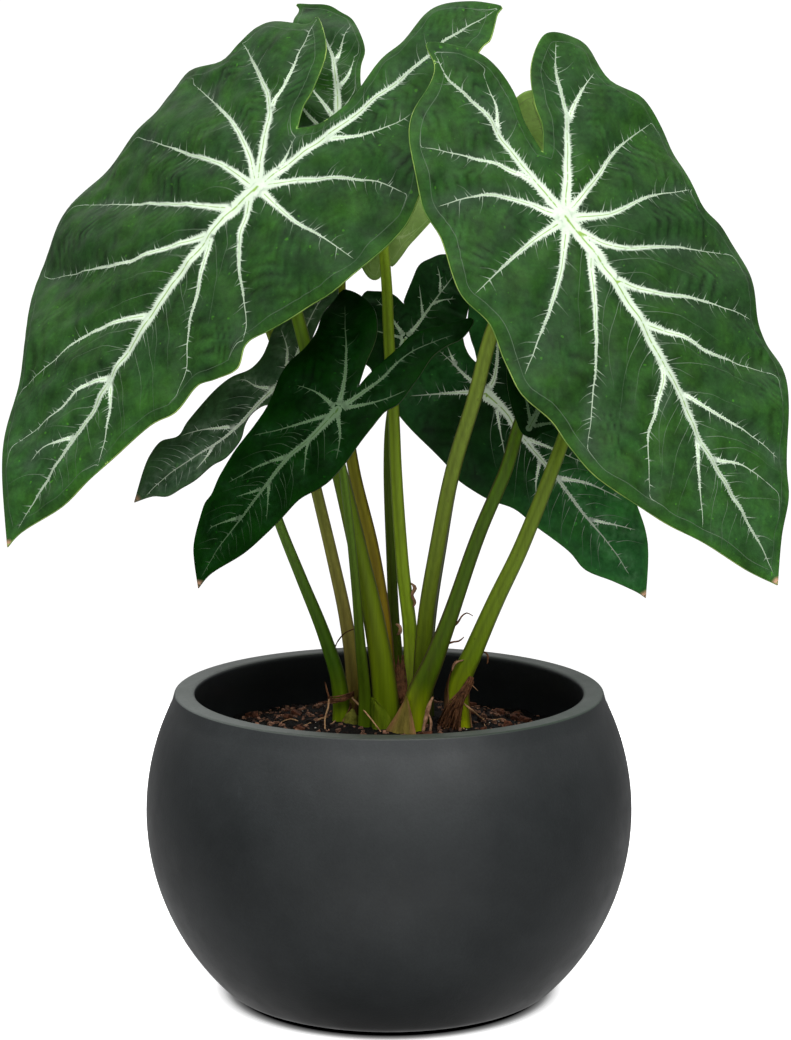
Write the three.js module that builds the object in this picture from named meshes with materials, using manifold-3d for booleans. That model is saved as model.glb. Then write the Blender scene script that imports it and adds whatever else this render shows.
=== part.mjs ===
// A potted alocasia: a matte charcoal bowl pot, its soil, and eleven arrowhead leaves on their stalks.
// Millimetres, +Z up. The origin is the middle of the pot's flat base, and the front of the plant faces -Y.
import * as THREE from 'three';
import { mergeVertices } from 'three/addons/utils/BufferGeometryUtils.js';
import { TessellateModifier } from 'three/addons/modifiers/TessellateModifier.js';
import Module from 'manifold-3d';

// ---- driving dimensions -------------------------------------------------------------------------
const POT_RADIUS = 130;        // the bowl is a ball of this radius, cut off flat at the base and the rim
const POT_CENTRE_Z = 97;       // height of the ball's centre
const POT_HEIGHT = 162;
const POT_BASE_RADIUS = 80.6;  // flat foot, inside its rounded edge
const FOOT_ROUND = 8;          // the foot's edge is rounded over this much
const POT_RIM_RADIUS = 114.2;
const POT_WALL = 11.5;
const POT_FLOOR = 10;
const RIM_BEVEL = 3.5;         // rounded inner edge of the rim
const SOIL_EDGE_Z = 131;       // soil height at the wall
const SOIL_CROWN_Z = 143;      // soil height around the stalks
const SOIL_CROWN_RADIUS = 58;  // the soil falls away outside this radius
const ROOT_Z = 127;            // the stalks reach down to here in the soil
const BLADE_THICKNESS = 0.9;
const SHEATH_THICKNESS = 0.9;
const KNEE = 16;               // the stalk meets the blade square on over this length
const GAP = 0.35;              // clearance between pieces that meet
const SEAT_GAP = 0.55;         // room for the stalk's slanted end under the bent blade
const SHEATH_GAP = 0.85;       // between a sheath and the stalk it clasps
const SHEATH_ROOM = 3;         // how much wider than its stalk a sheathed stalk's hole is

// how finely the round and bent forms are faceted
const POT_SIDES = 44;
const STALK_SIDES = 8;
const STALK_STEPS = 14;
const BLADE_EDGE = 28;         // longest edge of a blade's triangles

// The photograph's camera, used to carry points read off it (in its 791 x 1040 frame) to real places.
const VIEW = { distance: 1500, elevation: 9, focal: 2835.8, middle: [389, 520], targetZ: 253.4 };

const COLOURS = {
  pot: ['#3a3d3d', 0.75],
  soil: ['#241a14', 0.95],
  bladeLit: ['#2f5a35', 0.45],
  bladeDark: ['#12321a', 0.45],
  stalk: ['#55701f', 0.5],
  sheath: ['#7a6244', 0.85],
};

// ---- from the photograph to the plant ------------------------------------------------------------
const tilt = THREE.MathUtils.degToRad(VIEW.elevation);
const viewForward = new THREE.Vector3(0, Math.cos(tilt), -Math.sin(tilt));
const viewUp = new THREE.Vector3(0, Math.sin(tilt), Math.cos(tilt));
const viewRight = new THREE.Vector3(1, 0, 0);
const eye = new THREE.Vector3(0, 0, VIEW.targetZ).addScaledVector(viewForward, -VIEW.distance);

function sightLine([px, py]) {
  return viewForward.clone()
    .addScaledVector(viewRight, (px - VIEW.middle[0]) / VIEW.focal)
    .addScaledVector(viewUp, (VIEW.middle[1] - py) / VIEW.focal);
}

// the point at pixel (px, py) that lies at depth y, where smaller y is nearer the camera
function atDepth([px, py, y]) {
  const ray = sightLine([px, py]);
  return eye.clone().addScaledVector(ray, (y - eye.y) / ray.y);
}

function onPlane(pixel, origin, normal) {
  const ray = sightLine(pixel);
  const reach = origin.clone().sub(eye).dot(normal) / ray.dot(normal);
  return eye.clone().addScaledVector(ray, reach);
}

function toPixel(point) {
  const d = point.clone().sub(eye);
  const depth = d.dot(viewForward);
  return [VIEW.middle[0] + VIEW.focal * d.dot(viewRight) / depth,
    VIEW.middle[1] - VIEW.focal * d.dot(viewUp) / depth];
}

// ---- the leaves ----------------------------------------------------------------------------------
// seat: where the stalk meets the blade; tip: the blade's point (pixel, pixel, depth in mm).
// facing: the way the upper side looks. left and right: the two margins from the tip to the sinus
// (the notch at the stalk) and from the sinus back to the tip. droop, lobes and arch: how far the
// tip, the rear lobes and the sides bend back, and wave the height of the ripples along the margin.
// stalk: points up the stalk; root: its place [x, y] in the soil; radius: [at the soil, at the blade].
const LEAVES = [
  {
    name: 'front_left', tone: 'bladeLit',
    seat: [257, 188, -30], tip: [7, 547, -52], facing: [-0.55, -0.72, 0.42],
    left: [[2, 479], [11, 411], [25, 339], [41, 271], [77, 198], [107, 171], [132, 136], [154, 114],
      [171, 93], [189, 71], [221, 61], [239, 43], [257, 27], [275, 21], [307, 24], [318, 17],
      [326, 50], [313, 88], [303, 106]],
    sinus: [297, 128],
    right: [[320, 123], [350, 100], [380, 60], [403, 41], [425, 14], [443, 4], [470, 1], [502, 7],
      [493, 33], [479, 51], [455, 110], [418, 198], [386, 246], [339, 286], [307, 307], [271, 329],
      [246, 343], [237, 368], [214, 379], [196, 386], [175, 412], [150, 425], [114, 457], [89, 479],
      [61, 507], [21, 532]],
    droop: 0.1, lobes: 0.24, arch: 0.35, wave: 3,
    root: [-1, -13], radius: [7.2, 3.1],
    stalk: [[389, 700, -13], [376, 620, -15], [358, 550, -18], [340, 475, -21], [318, 395, -23],
      [301, 330, -24], [283, 260, -22]],
  },
  {
    name: 'front_right', tone: 'bladeLit',
    seat: [566, 218, -68], tip: [778, 585, -101], facing: [0.45, -0.8, 0.35],
    left: [[747, 570], [705, 543], [671, 526], [644, 509], [598, 478], [571, 448], [552, 421],
      [522, 394], [506, 363], [491, 325], [464, 298], [453, 275], [441, 237], [422, 203], [411, 149],
      [412, 115], [430, 84], [435, 65], [428, 42], [472, 50], [495, 65], [514, 92], [525, 122]],
    sinus: [543, 153],
    right: [[543, 126], [535, 103], [531, 69], [539, 42], [550, 32], [571, 36], [589, 48], [610, 80],
      [644, 99], [663, 130], [678, 161], [701, 203], [724, 230], [747, 268], [757, 314], [765, 341],
      [782, 367], [789, 406], [787, 467], [789, 497], [782, 536]],
    droop: 0.1, lobes: 0.06, arch: 0.3, wave: 3,
    root: [18, -2], radius: [5, 3.6],
    stalk: [[422, 690, -3], [426, 620, -8], [437, 550, -16], [453, 470, -26], [474, 400, -36],
      [493, 330, -45], [520, 275, -51]],
  },
  {
    name: 'front_small', tone: 'bladeDark',
    seat: [338, 410, -75], tip: [198, 588, -94], facing: [-0.35, -0.82, 0.42],
    left: [[194, 561], [194, 541], [203, 507], [212, 493], [221, 473], [233, 453], [253, 427],
      [273, 393], [282, 372], [293, 358], [308, 344], [317, 330], [325, 311], [340, 292], [349, 290],
      [363, 297], [374, 309], [377, 324], [375, 341], [365, 365]],
    sinus: [358, 387],
    right: [[371, 372], [399, 347], [410, 336], [426, 328], [443, 325], [473, 318], [462, 338],
      [446, 346], [431, 358], [417, 379], [400, 402], [384, 412], [370, 429], [350, 456], [333, 477],
      [319, 488], [299, 499], [282, 517], [265, 534], [242, 554], [211, 573]],
    droop: 0.12, lobes: 0.1, arch: 0.35, wave: 2,
    root: [-13, -12], radius: [3, 2],
    stalk: [[366, 700, -12], [361, 650, -18], [356, 590, -27], [350, 530, -38], [344, 480, -50],
      [341, 450, -58]],
  },
  {
    name: 'left_middle', tone: 'bladeDark',
    seat: [288, 378, -20], tip: [134, 502, -34], facing: [-0.3, -0.8, 0.5],
    left: [[143, 471], [151, 453], [161, 441], [178, 436], [187, 422], [201, 405], [218, 387],
      [233, 376], [250, 369], [261, 358], [267, 346], [275, 327], [290, 308], [312, 292], [335, 284],
      [337, 300], [327, 307], [315, 330]],
    sinus: [302, 364],
    right: [[305, 376], [307, 390], [296, 400], [280, 404], [264, 405], [252, 413], [245, 424],
      [240, 440], [226, 457], [212, 465], [196, 479], [181, 488], [167, 496], [152, 496]],
    droop: 0.1, lobes: 0.1, arch: 0.3, wave: 2,
    root: [-26, 1], radius: [4.5, 2.1],
    stalk: [[340, 690, 1], [326, 640, 0], [302, 580, -3], [280, 525, -7], [262, 470, -9],
      [262, 425, -8]],
  },
  {
    name: 'right_middle', tone: 'bladeDark',
    seat: [484, 394, 12], tip: [646, 598, 0], facing: [0.2, -0.9, 0.36],
    left: [[637, 592], [613, 581], [586, 570], [569, 551], [537, 527], [515, 509], [488, 499],
      [461, 482], [448, 466], [421, 439], [400, 416], [390, 400], [412, 378], [440, 362]],
    sinus: [467, 356],
    right: [[470, 338], [466, 318], [475, 285], [500, 262], [520, 290], [538, 345], [558, 395],
      [588, 440], [620, 475], [639, 510], [648, 544]],
    droop: 0.1, lobes: 0.08, arch: 0.3, wave: 2,
    root: [21, 13], radius: [4, 2.4],
    stalk: [[426, 680, 13], [430, 620, 12], [441, 550, 12], [456, 470, 14], [470, 430, 16]],
  },
  {
    name: 'inner_dark', tone: 'bladeDark',
    seat: [406, 338, 5], tip: [358, 447, -8], facing: [0.1, -0.93, 0.3],
    left: [[347, 420], [342, 385], [346, 350], [352, 320], [363, 294], [374, 291], [393, 294]],
    sinus: [404, 304],
    right: [[404, 300], [412, 280], [419, 265], [431, 258], [443, 254], [458, 258], [468, 275],
      [470, 300], [462, 328], [440, 342], [424, 356], [405, 378], [386, 402], [370, 428]],
    droop: 0.08, lobes: 0.08, arch: 0.3, wave: 1.5,
    root: [4, 16], radius: [3.6, 2.2],
    stalk: [[398, 680, 16], [394, 620, 17], [391, 550, 18], [388, 470, 18], [390, 421, 18],
      [399, 370, 18]],
  },
  {
    name: 'back_top', tone: 'bladeLit',
    seat: [343, 165, 28], tip: [262, 300, -3], facing: [-0.1, -0.86, 0.5],
    left: [[235, 260], [228, 215], [240, 170], [262, 130], [280, 90], [288, 50], [293, 22], [299, 10],
      [296, 4], [310, 4], [328, 5], [341, 12], [353, 20], [361, 35], [365, 50], [361, 65], [361, 86],
      [366, 112]],
    sinus: [362, 142],
    right: [[385, 125], [408, 110], [404, 150], [386, 195], [352, 238], [320, 275], [290, 297]],
    droop: 0.1, lobes: 0.1, arch: 0.3, wave: 2.5,
    root: [-4, 3], radius: [4.2, 2.8],
    stalk: [[383, 690, 4], [377, 630, 6], [364, 550, 10], [351, 470, 14], [344, 400, 18],
      [341, 320, 26], [341, 240, 36]],
  },
  {
    name: 'back_middle', tone: 'bladeLit',
    seat: [386, 237, 36], tip: [392, 92, 82], facing: [0.1, 0.88, 0.3],
    left: [[372, 120], [360, 165], [354, 210], [356, 248], [363, 270], [372, 280], [381, 277]],
    sinus: [386, 260],
    right: [[392, 267], [402, 256], [409, 246], [421, 233], [440, 205], [445, 170], [435, 130],
      [415, 103]],
    droop: 0.12, lobes: 0.1, arch: 0.3, wave: 2,
    root: [9, 7], radius: [4.2, 2.8],
    stalk: [[407, 690, 6], [405, 630, 2], [402, 570, -2], [396, 470, -7], [394, 421, -7],
      [389, 340, -4], [387, 289, 3]],
  },
  {
    name: 'right_inner', tone: 'bladeDark',
    seat: [529, 428, -36], tip: [622, 268, -34], facing: [0.3, -0.93, 0.12],
    left: [[570, 280], [535, 305], [512, 340], [507, 374], [510, 400], [520, 430]],
    sinus: [527, 437],
    right: [[536, 438], [542, 433], [559, 427], [595, 408], [622, 368], [634, 315]],
    droop: 0.08, lobes: 0.05, arch: 0.35, wave: 1.5,
    root: [10, -21], radius: [5, 3.4],
    stalk: [[413, 700, -20], [429, 660, -22], [447, 623, -24], [480, 534, -27], [506, 470, -26]],
  },
  {
    name: 'right_back', tone: 'bladeLit',
    seat: [590, 330, 42], tip: [735, 500, 58], facing: [0.36, 0.88, 0.26],
    left: [[690, 490], [640, 460], [600, 430], [575, 395], [560, 350], [545, 290], [530, 240],
      [516, 190], [508, 150], [507, 112], [518, 96], [531, 90], [548, 92], [562, 130], [578, 210]],
    sinus: [588, 292],
    right: [[604, 240], [622, 205], [640, 190], [668, 215], [700, 258], [725, 300], [745, 350],
      [755, 400], [750, 450]],
    droop: 0.1, lobes: 0.1, arch: 0.2, wave: 2.5,
    root: [39, -8], radius: [6, 3.2],
    stalk: [[464, 690, -9], [475, 650, -12], [496, 600, -16], [520, 550, -19], [552, 470, -18],
      [571, 415, -4], [580, 370, 14]],
  },
  {
    name: 'left_back', tone: 'bladeLit',
    seat: [222, 230, 86], tip: [75, 400, 98], facing: [-0.12, 0.93, 0.3],
    left: [[45, 350], [60, 300], [90, 255], [125, 215], [150, 170], [180, 130], [205, 105],
      [222, 130], [226, 180]],
    sinus: [230, 208],
    right: [[250, 180], [290, 165], [310, 180], [300, 230], [270, 270], [235, 310], [190, 340],
      [140, 375]],
    droop: 0.1, lobes: 0.08, arch: 0.3, wave: 2.5,
    root: [-20, 14], radius: [4, 2.7],
    stalk: [[352, 684, 15], [340, 620, 20], [328, 560, 26], [316, 493, 36], [294, 400, 50],
      [262, 310, 62], [240, 264, 66]],
  },
];

// Dry papery sheaths that clasp the feet of some stalks. turn: the way the opening looks, in degrees
// round the stalk; cover: how much of the turn it wraps; top: how far up the stalk it reaches (0 to 1).
const SHEATHS = [
  { name: 'left', leaf: 'left_middle', turn: 20, cover: 250, top: 0.12 },
  { name: 'front', leaf: 'front_left', turn: 200, cover: 200, top: 0.11 },
  { name: 'right', leaf: 'right_back', turn: 120, cover: 260, top: 0.2 },
  { name: 'back', leaf: 'left_back', turn: 10, cover: 220, top: 0.12 },
];

// ---- shared helpers --------------------------------------------------------------------------------
function mesh(name, geometry, colour) {
  const [hex, roughness] = COLOURS[colour];
  const material = new THREE.MeshStandardMaterial({ color: hex, roughness, metalness: 0 });
  const piece = new THREE.Mesh(geometry, material);
  piece.name = name;
  return piece;
}

function welded(geometry) {
  const bare = geometry.clone();
  bare.deleteAttribute('normal');
  bare.deleteAttribute('uv');
  return mergeVertices(bare, 1e-4);
}

// moves every corner of a geometry by a function from point to point
function bent(geometry, move) {
  const solid = welded(geometry);
  const corners = solid.attributes.position;
  const corner = new THREE.Vector3();
  for (let i = 0; i < corners.count; i++) {
    corner.fromBufferAttribute(corners, i);
    corners.setXYZ(i, ...move(corner).toArray());
  }
  solid.computeVertexNormals();
  return solid;
}

// ---- blades ----------------------------------------------------------------------------------------
// The blade's own frame: y runs along the midrib to the tip, x across it, z out of the upper side.
function bladeFrame(leaf) {
  const seat = atDepth(leaf.seat);
  const along = atDepth(leaf.tip).sub(seat);
  const length = along.length();
  along.normalize();
  const out = new THREE.Vector3(...leaf.facing);
  out.addScaledVector(along, -out.dot(along)).normalize();
  const across = along.clone().cross(out);
  return { seat, along, across, out, length };
}

const RIPPLES = 7;       // half waves along the margin from the seat to the tip
const RIPPLE_LAG = 1.2;  // the two sides ripple out of step by this angle

// height of the upper side over the flat frame at (x, y)
function bladeHeight(leaf, length, x, y) {
  const s = y / length;
  const t = x / length;
  const bend = (s > 0 ? leaf.droop : leaf.lobes) * s * s + leaf.arch * t * t;
  const ripple = Math.sin(RIPPLES * Math.PI * s + (t > 0 ? RIPPLE_LAG : 0)) * Math.min(1, 6 * t * t);
  return leaf.wave * ripple - length * bend;
}

function bladePoint(leaf, frame, x, y, z = 0) {
  const height = bladeHeight(leaf, frame.length, x, y) + z;
  return frame.seat.clone()
    .addScaledVector(frame.across, x)
    .addScaledVector(frame.along, y)
    .addScaledVector(frame.out, height);
}

// where the sight line of a pixel meets the bent blade, as (x, y) in the blade's frame
function onBlade(leaf, frame, pixel) {
  const aim = [...pixel];
  const place = new THREE.Vector2();
  for (let round = 0; round < 12; round++) {
    const flat = onPlane(aim, frame.seat, frame.out).sub(frame.seat);
    place.set(flat.dot(frame.across), flat.dot(frame.along));
    const seen = toPixel(bladePoint(leaf, frame, place.x, place.y));
    aim[0] += pixel[0] - seen[0];
    aim[1] += pixel[1] - seen[1];
  }
  return place;
}

function bladeOutline(leaf, frame) {
  const tip = onBlade(leaf, frame, leaf.tip.slice(0, 2));
  const sinus = onBlade(leaf, frame, leaf.sinus);
  const shape = new THREE.Shape();
  shape.moveTo(tip.x, tip.y);
  shape.splineThru([...leaf.left.map((p) => onBlade(leaf, frame, p)), sinus]);
  shape.splineThru([...leaf.right.map((p) => onBlade(leaf, frame, p)), tip]);
  return shape;
}

function blade(leaf) {
  const frame = bladeFrame(leaf);
  const flat = new THREE.ExtrudeGeometry(bladeOutline(leaf, frame), {
    depth: BLADE_THICKNESS, bevelEnabled: false, curveSegments: 1,
  });
  const fine = new TessellateModifier(BLADE_EDGE, 8).modify(flat);
  const geometry = bent(fine, (p) => bladePoint(leaf, frame, p.x, p.y, p.z - BLADE_THICKNESS));
  return mesh(`blade_${leaf.name}`, geometry, leaf.tone);
}

// ---- stalks ----------------------------------------------------------------------------------------
function stalkCurve(leaf, sink = 0) {
  const { seat, out } = bladeFrame(leaf);
  const [x, y] = leaf.root;
  const points = [new THREE.Vector3(x, y, ROOT_Z - sink)];
  leaf.stalk.forEach((p) => points.push(atDepth(p)));
  points.push(seat.clone().addScaledVector(out, -BLADE_THICKNESS - KNEE));
  points.push(seat.clone().addScaledVector(out, -BLADE_THICKNESS - SEAT_GAP));
  return new THREE.CatmullRomCurve3(points, false, 'centripetal');
}

function stalkRadius(leaf, t) {
  const [foot, top] = leaf.radius;
  return top + (foot - top) * (1 - t) ** 1.8;
}

// steps along a straight form are drawn closer together toward its top, where the stalk bends most
function towardTop(z) {
  return 1 - (1 - THREE.MathUtils.clamp(z, 0, 1)) ** 1.6;
}

// carries a straight form, z from 0 to 1, onto a stalk: place(x, y, t) gives the offset from its line
function alongStalk(geometry, curve, place) {
  const back = new THREE.Vector3(0, 1, 0);
  return bent(geometry, (p) => {
    const t = THREE.MathUtils.clamp(p.z, 0, 1);
    const tangent = curve.getTangentAt(t);
    const side = back.clone().cross(tangent).normalize();
    const front = tangent.clone().cross(side);
    const [a, b] = place(p.x, p.y, t);
    return curve.getPointAt(t).addScaledVector(side, a).addScaledVector(front, b);
  });
}

function stalkGeometry(leaf, extra = 0) {
  const round = new THREE.EllipseCurve(0, 0, 1, 1);
  const section = new THREE.Shape(round.getPoints(STALK_SIDES).slice(0, STALK_SIDES));
  const straight = new THREE.ExtrudeGeometry(section, {
    depth: 1, steps: STALK_STEPS, bevelEnabled: false,
  });
  const spaced = bent(straight, (p) => p.setZ(towardTop(p.z)));
  return alongStalk(spaced, stalkCurve(leaf, extra), (x, y, t) => {
    const radius = stalkRadius(leaf, t) + extra;
    return [x * radius, y * radius];
  });
}

function stalk(leaf) {
  return mesh(`stalk_${leaf.name}`, stalkGeometry(leaf), 'stalk');
}

// a C-shaped wrap that narrows to a point as it climbs
function sheath(spec) {
  const leaf = LEAVES.find((one) => one.name === spec.leaf);
  const half = THREE.MathUtils.degToRad(spec.cover / 2);
  const section = new THREE.Shape();
  section.absarc(0, 0, 2, -half, half, false);
  section.absarc(0, 0, 1, half, -half, true);
  const straight = new THREE.ExtrudeGeometry(section, {
    depth: 1, steps: 4, bevelEnabled: false, curveSegments: 5,
  });
  const bottom = 0.045;
  const turn = THREE.MathUtils.degToRad(spec.turn);
  straight.scale(1, 1, spec.top - bottom);
  straight.translate(0, 0, bottom);
  const geometry = alongStalk(straight, stalkCurve(leaf), (x, y, t) => {
    const climb = (t - bottom) / (spec.top - bottom);
    const radius = stalkRadius(leaf, t) + SHEATH_GAP + (Math.hypot(x, y) - 1) * SHEATH_THICKNESS;
    const angle = turn + Math.atan2(y, x) * (1 - 0.75 * climb * climb);
    return [radius * Math.cos(angle), radius * Math.sin(angle)];
  });
  return mesh(`sheath_${spec.name}`, geometry, 'sheath');
}

// ---- pot and soil ----------------------------------------------------------------------------------
// points on the ball of the given radius between two heights, bottom first
function bowlArc(radius, fromZ, toZ, count) {
  const angle = (z) => Math.asin((z - POT_CENTRE_Z) / radius);
  const points = [];
  for (let i = 0; i <= count; i++) {
    const a = THREE.MathUtils.lerp(angle(fromZ), angle(toZ), i / count);
    points.push(new THREE.Vector2(radius * Math.cos(a), POT_CENTRE_Z + radius * Math.sin(a)));
  }
  return points;
}

function lathe(profile) {
  const geometry = new THREE.LatheGeometry(profile, POT_SIDES);
  geometry.rotateX(Math.PI / 2);
  return welded(geometry);
}

function pot() {
  const inner = POT_RADIUS - POT_WALL;
  const rimInner = POT_RIM_RADIUS - POT_WALL;
  const profile = [
    new THREE.Vector2(0, 0),
    new THREE.Vector2(POT_BASE_RADIUS, 0),
    new THREE.Vector2(POT_BASE_RADIUS + FOOT_ROUND, 0.6 * FOOT_ROUND),
    ...bowlArc(POT_RADIUS, 1.5 * FOOT_ROUND, POT_HEIGHT - 6, 10),
    new THREE.Vector2(POT_RIM_RADIUS, POT_HEIGHT),
    new THREE.Vector2(rimInner + RIM_BEVEL, POT_HEIGHT),
    new THREE.Vector2(rimInner + 0.3 * RIM_BEVEL, POT_HEIGHT - 0.3 * RIM_BEVEL),
    new THREE.Vector2(rimInner, POT_HEIGHT - RIM_BEVEL),
    ...bowlArc(inner, POT_FLOOR + 5, POT_HEIGHT - 12, 7).reverse(),
    new THREE.Vector2(Math.sqrt(inner ** 2 - (POT_CENTRE_Z - POT_FLOOR) ** 2) - 4, POT_FLOOR),
    new THREE.Vector2(0, POT_FLOOR),
  ];
  return mesh('pot', lathe(profile), 'pot');
}

function solid(wasm, geometry) {
  const { position } = geometry.attributes;
  return new wasm.Manifold(new wasm.Mesh({
    numProp: 3,
    vertProperties: new Float32Array(position.array),
    triVerts: new Uint32Array(geometry.index.array),
  }));
}

function geometryOf(manifold) {
  const { vertProperties, triVerts } = manifold.getMesh();
  const geometry = new THREE.BufferGeometry();
  geometry.setAttribute('position', new THREE.BufferAttribute(vertProperties, 3));
  geometry.setIndex(new THREE.BufferAttribute(triVerts, 1));
  geometry.computeVertexNormals();
  return geometry;
}

// the soil fills the bowl, mounded round the stalks, with a plain hole for each of them
async function soil() {
  const wasm = await Module();
  wasm.setup();
  const inner = POT_RADIUS - POT_WALL - 3 * GAP;
  const profile = [
    new THREE.Vector2(0, POT_FLOOR + GAP),
    new THREE.Vector2(Math.sqrt(inner ** 2 - (POT_CENTRE_Z - POT_FLOOR) ** 2) - 6, POT_FLOOR + GAP),
    ...bowlArc(inner, POT_FLOOR + 7, SOIL_EDGE_Z, 6),
    new THREE.Vector2(1.6 * SOIL_CROWN_RADIUS, SOIL_EDGE_Z + 2),
    new THREE.Vector2(1.3 * SOIL_CROWN_RADIUS, SOIL_EDGE_Z + 7),
    new THREE.Vector2(SOIL_CROWN_RADIUS, SOIL_CROWN_Z - 1),
    new THREE.Vector2(SOIL_CROWN_RADIUS / 2, SOIL_CROWN_Z + 1.5),
    new THREE.Vector2(0, SOIL_CROWN_Z + 2),
  ];
  let body = solid(wasm, lathe(profile));
  LEAVES.forEach((leaf) => {
    body = body.subtract(solid(wasm, stalkGeometry(leaf, GAP)));
  });
  SHEATHS.forEach((spec) => {
    const leaf = LEAVES.find((one) => one.name === spec.leaf);
    body = body.subtract(solid(wasm, stalkGeometry(leaf, SHEATH_ROOM)));
  });
  return mesh('soil', geometryOf(body), 'soil');
}

// ---- the whole plant -------------------------------------------------------------------------------
const alocasia = new THREE.Group();
alocasia.add(pot(), await soil());
LEAVES.forEach((leaf) => alocasia.add(stalk(leaf), blade(leaf)));
SHEATHS.forEach((spec) => alocasia.add(sheath(spec)));

export default alocasia;
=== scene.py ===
# The potted alocasia: veined, quilted leaf blades, ribbed stalks, dry sheaths, bark-strewn soil and a
# matte charcoal bowl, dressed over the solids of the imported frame. Lengths are millimetres until a mesh
# is made, where they become metres.
import math
import random

import bpy
import numpy as np
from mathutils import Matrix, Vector
from mathutils import noise as mnoise
from mathutils.geometry import delaunay_2d_cdt
from mathutils.kdtree import KDTree


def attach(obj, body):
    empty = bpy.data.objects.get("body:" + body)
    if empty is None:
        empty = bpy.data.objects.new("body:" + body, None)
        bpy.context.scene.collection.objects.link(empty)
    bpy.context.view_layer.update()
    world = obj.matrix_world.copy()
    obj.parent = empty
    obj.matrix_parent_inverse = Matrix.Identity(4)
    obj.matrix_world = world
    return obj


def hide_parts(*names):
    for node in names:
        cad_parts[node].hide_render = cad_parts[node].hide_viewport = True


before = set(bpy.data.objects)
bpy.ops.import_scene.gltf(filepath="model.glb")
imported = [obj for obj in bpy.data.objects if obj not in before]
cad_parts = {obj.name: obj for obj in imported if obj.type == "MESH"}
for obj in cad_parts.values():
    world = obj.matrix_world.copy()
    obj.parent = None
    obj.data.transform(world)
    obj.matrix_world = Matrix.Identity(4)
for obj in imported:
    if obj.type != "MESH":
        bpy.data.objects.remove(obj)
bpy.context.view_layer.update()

MM = 0.001

# ---- the photograph's view: pixels are in its 791 x 1040 frame ----
PHOTO_WIDE, PHOTO_HIGH = 791, 1040
VIEW_DISTANCE = 1500.0
VIEW_ELEVATION = math.radians(9)
VIEW_FOCAL = 2835.8           # pixels
VIEW_MIDDLE = (389.0, 520.0)  # the pixel that the camera's target falls on
VIEW_TARGET_Z = 253.4

FORWARD = np.array([0, math.cos(VIEW_ELEVATION), -math.sin(VIEW_ELEVATION)])
UP = np.array([0, math.sin(VIEW_ELEVATION), math.cos(VIEW_ELEVATION)])
RIGHT = np.array([1.0, 0, 0])
EYE = np.array([0, 0, VIEW_TARGET_Z]) - VIEW_DISTANCE * FORWARD


def sight_line(px, py):
    across = (px - VIEW_MIDDLE[0]) / VIEW_FOCAL
    rise = (VIEW_MIDDLE[1] - py) / VIEW_FOCAL
    return FORWARD + RIGHT * across + UP * rise


def at_depth(px, py, y):
    ray = sight_line(px, py)
    return EYE + ray * ((y - EYE[1]) / ray[1])


def to_pixel(point):
    d = point - EYE
    depth = d @ FORWARD
    return np.array([VIEW_MIDDLE[0] + VIEW_FOCAL * (d @ RIGHT) / depth,
                     VIEW_MIDDLE[1] - VIEW_FOCAL * (d @ UP) / depth])


# ---- the plant's sizes ----
POT_RADIUS = 130.0
POT_CENTRE_Z = 97.0
POT_HEIGHT = 162.0
POT_BASE_RADIUS = 80.6
POT_RIM_RADIUS = 114.2
POT_WALL = 11.5
POT_FLOOR = 10.0
SOIL_EDGE_Z = 131.0
SOIL_CROWN_Z = 143.0
SOIL_CROWN_RADIUS = 58.0
ROOT_Z = 127.0
BLADE_THICKNESS = 0.9
SEAT_GAP = 0.55

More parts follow.
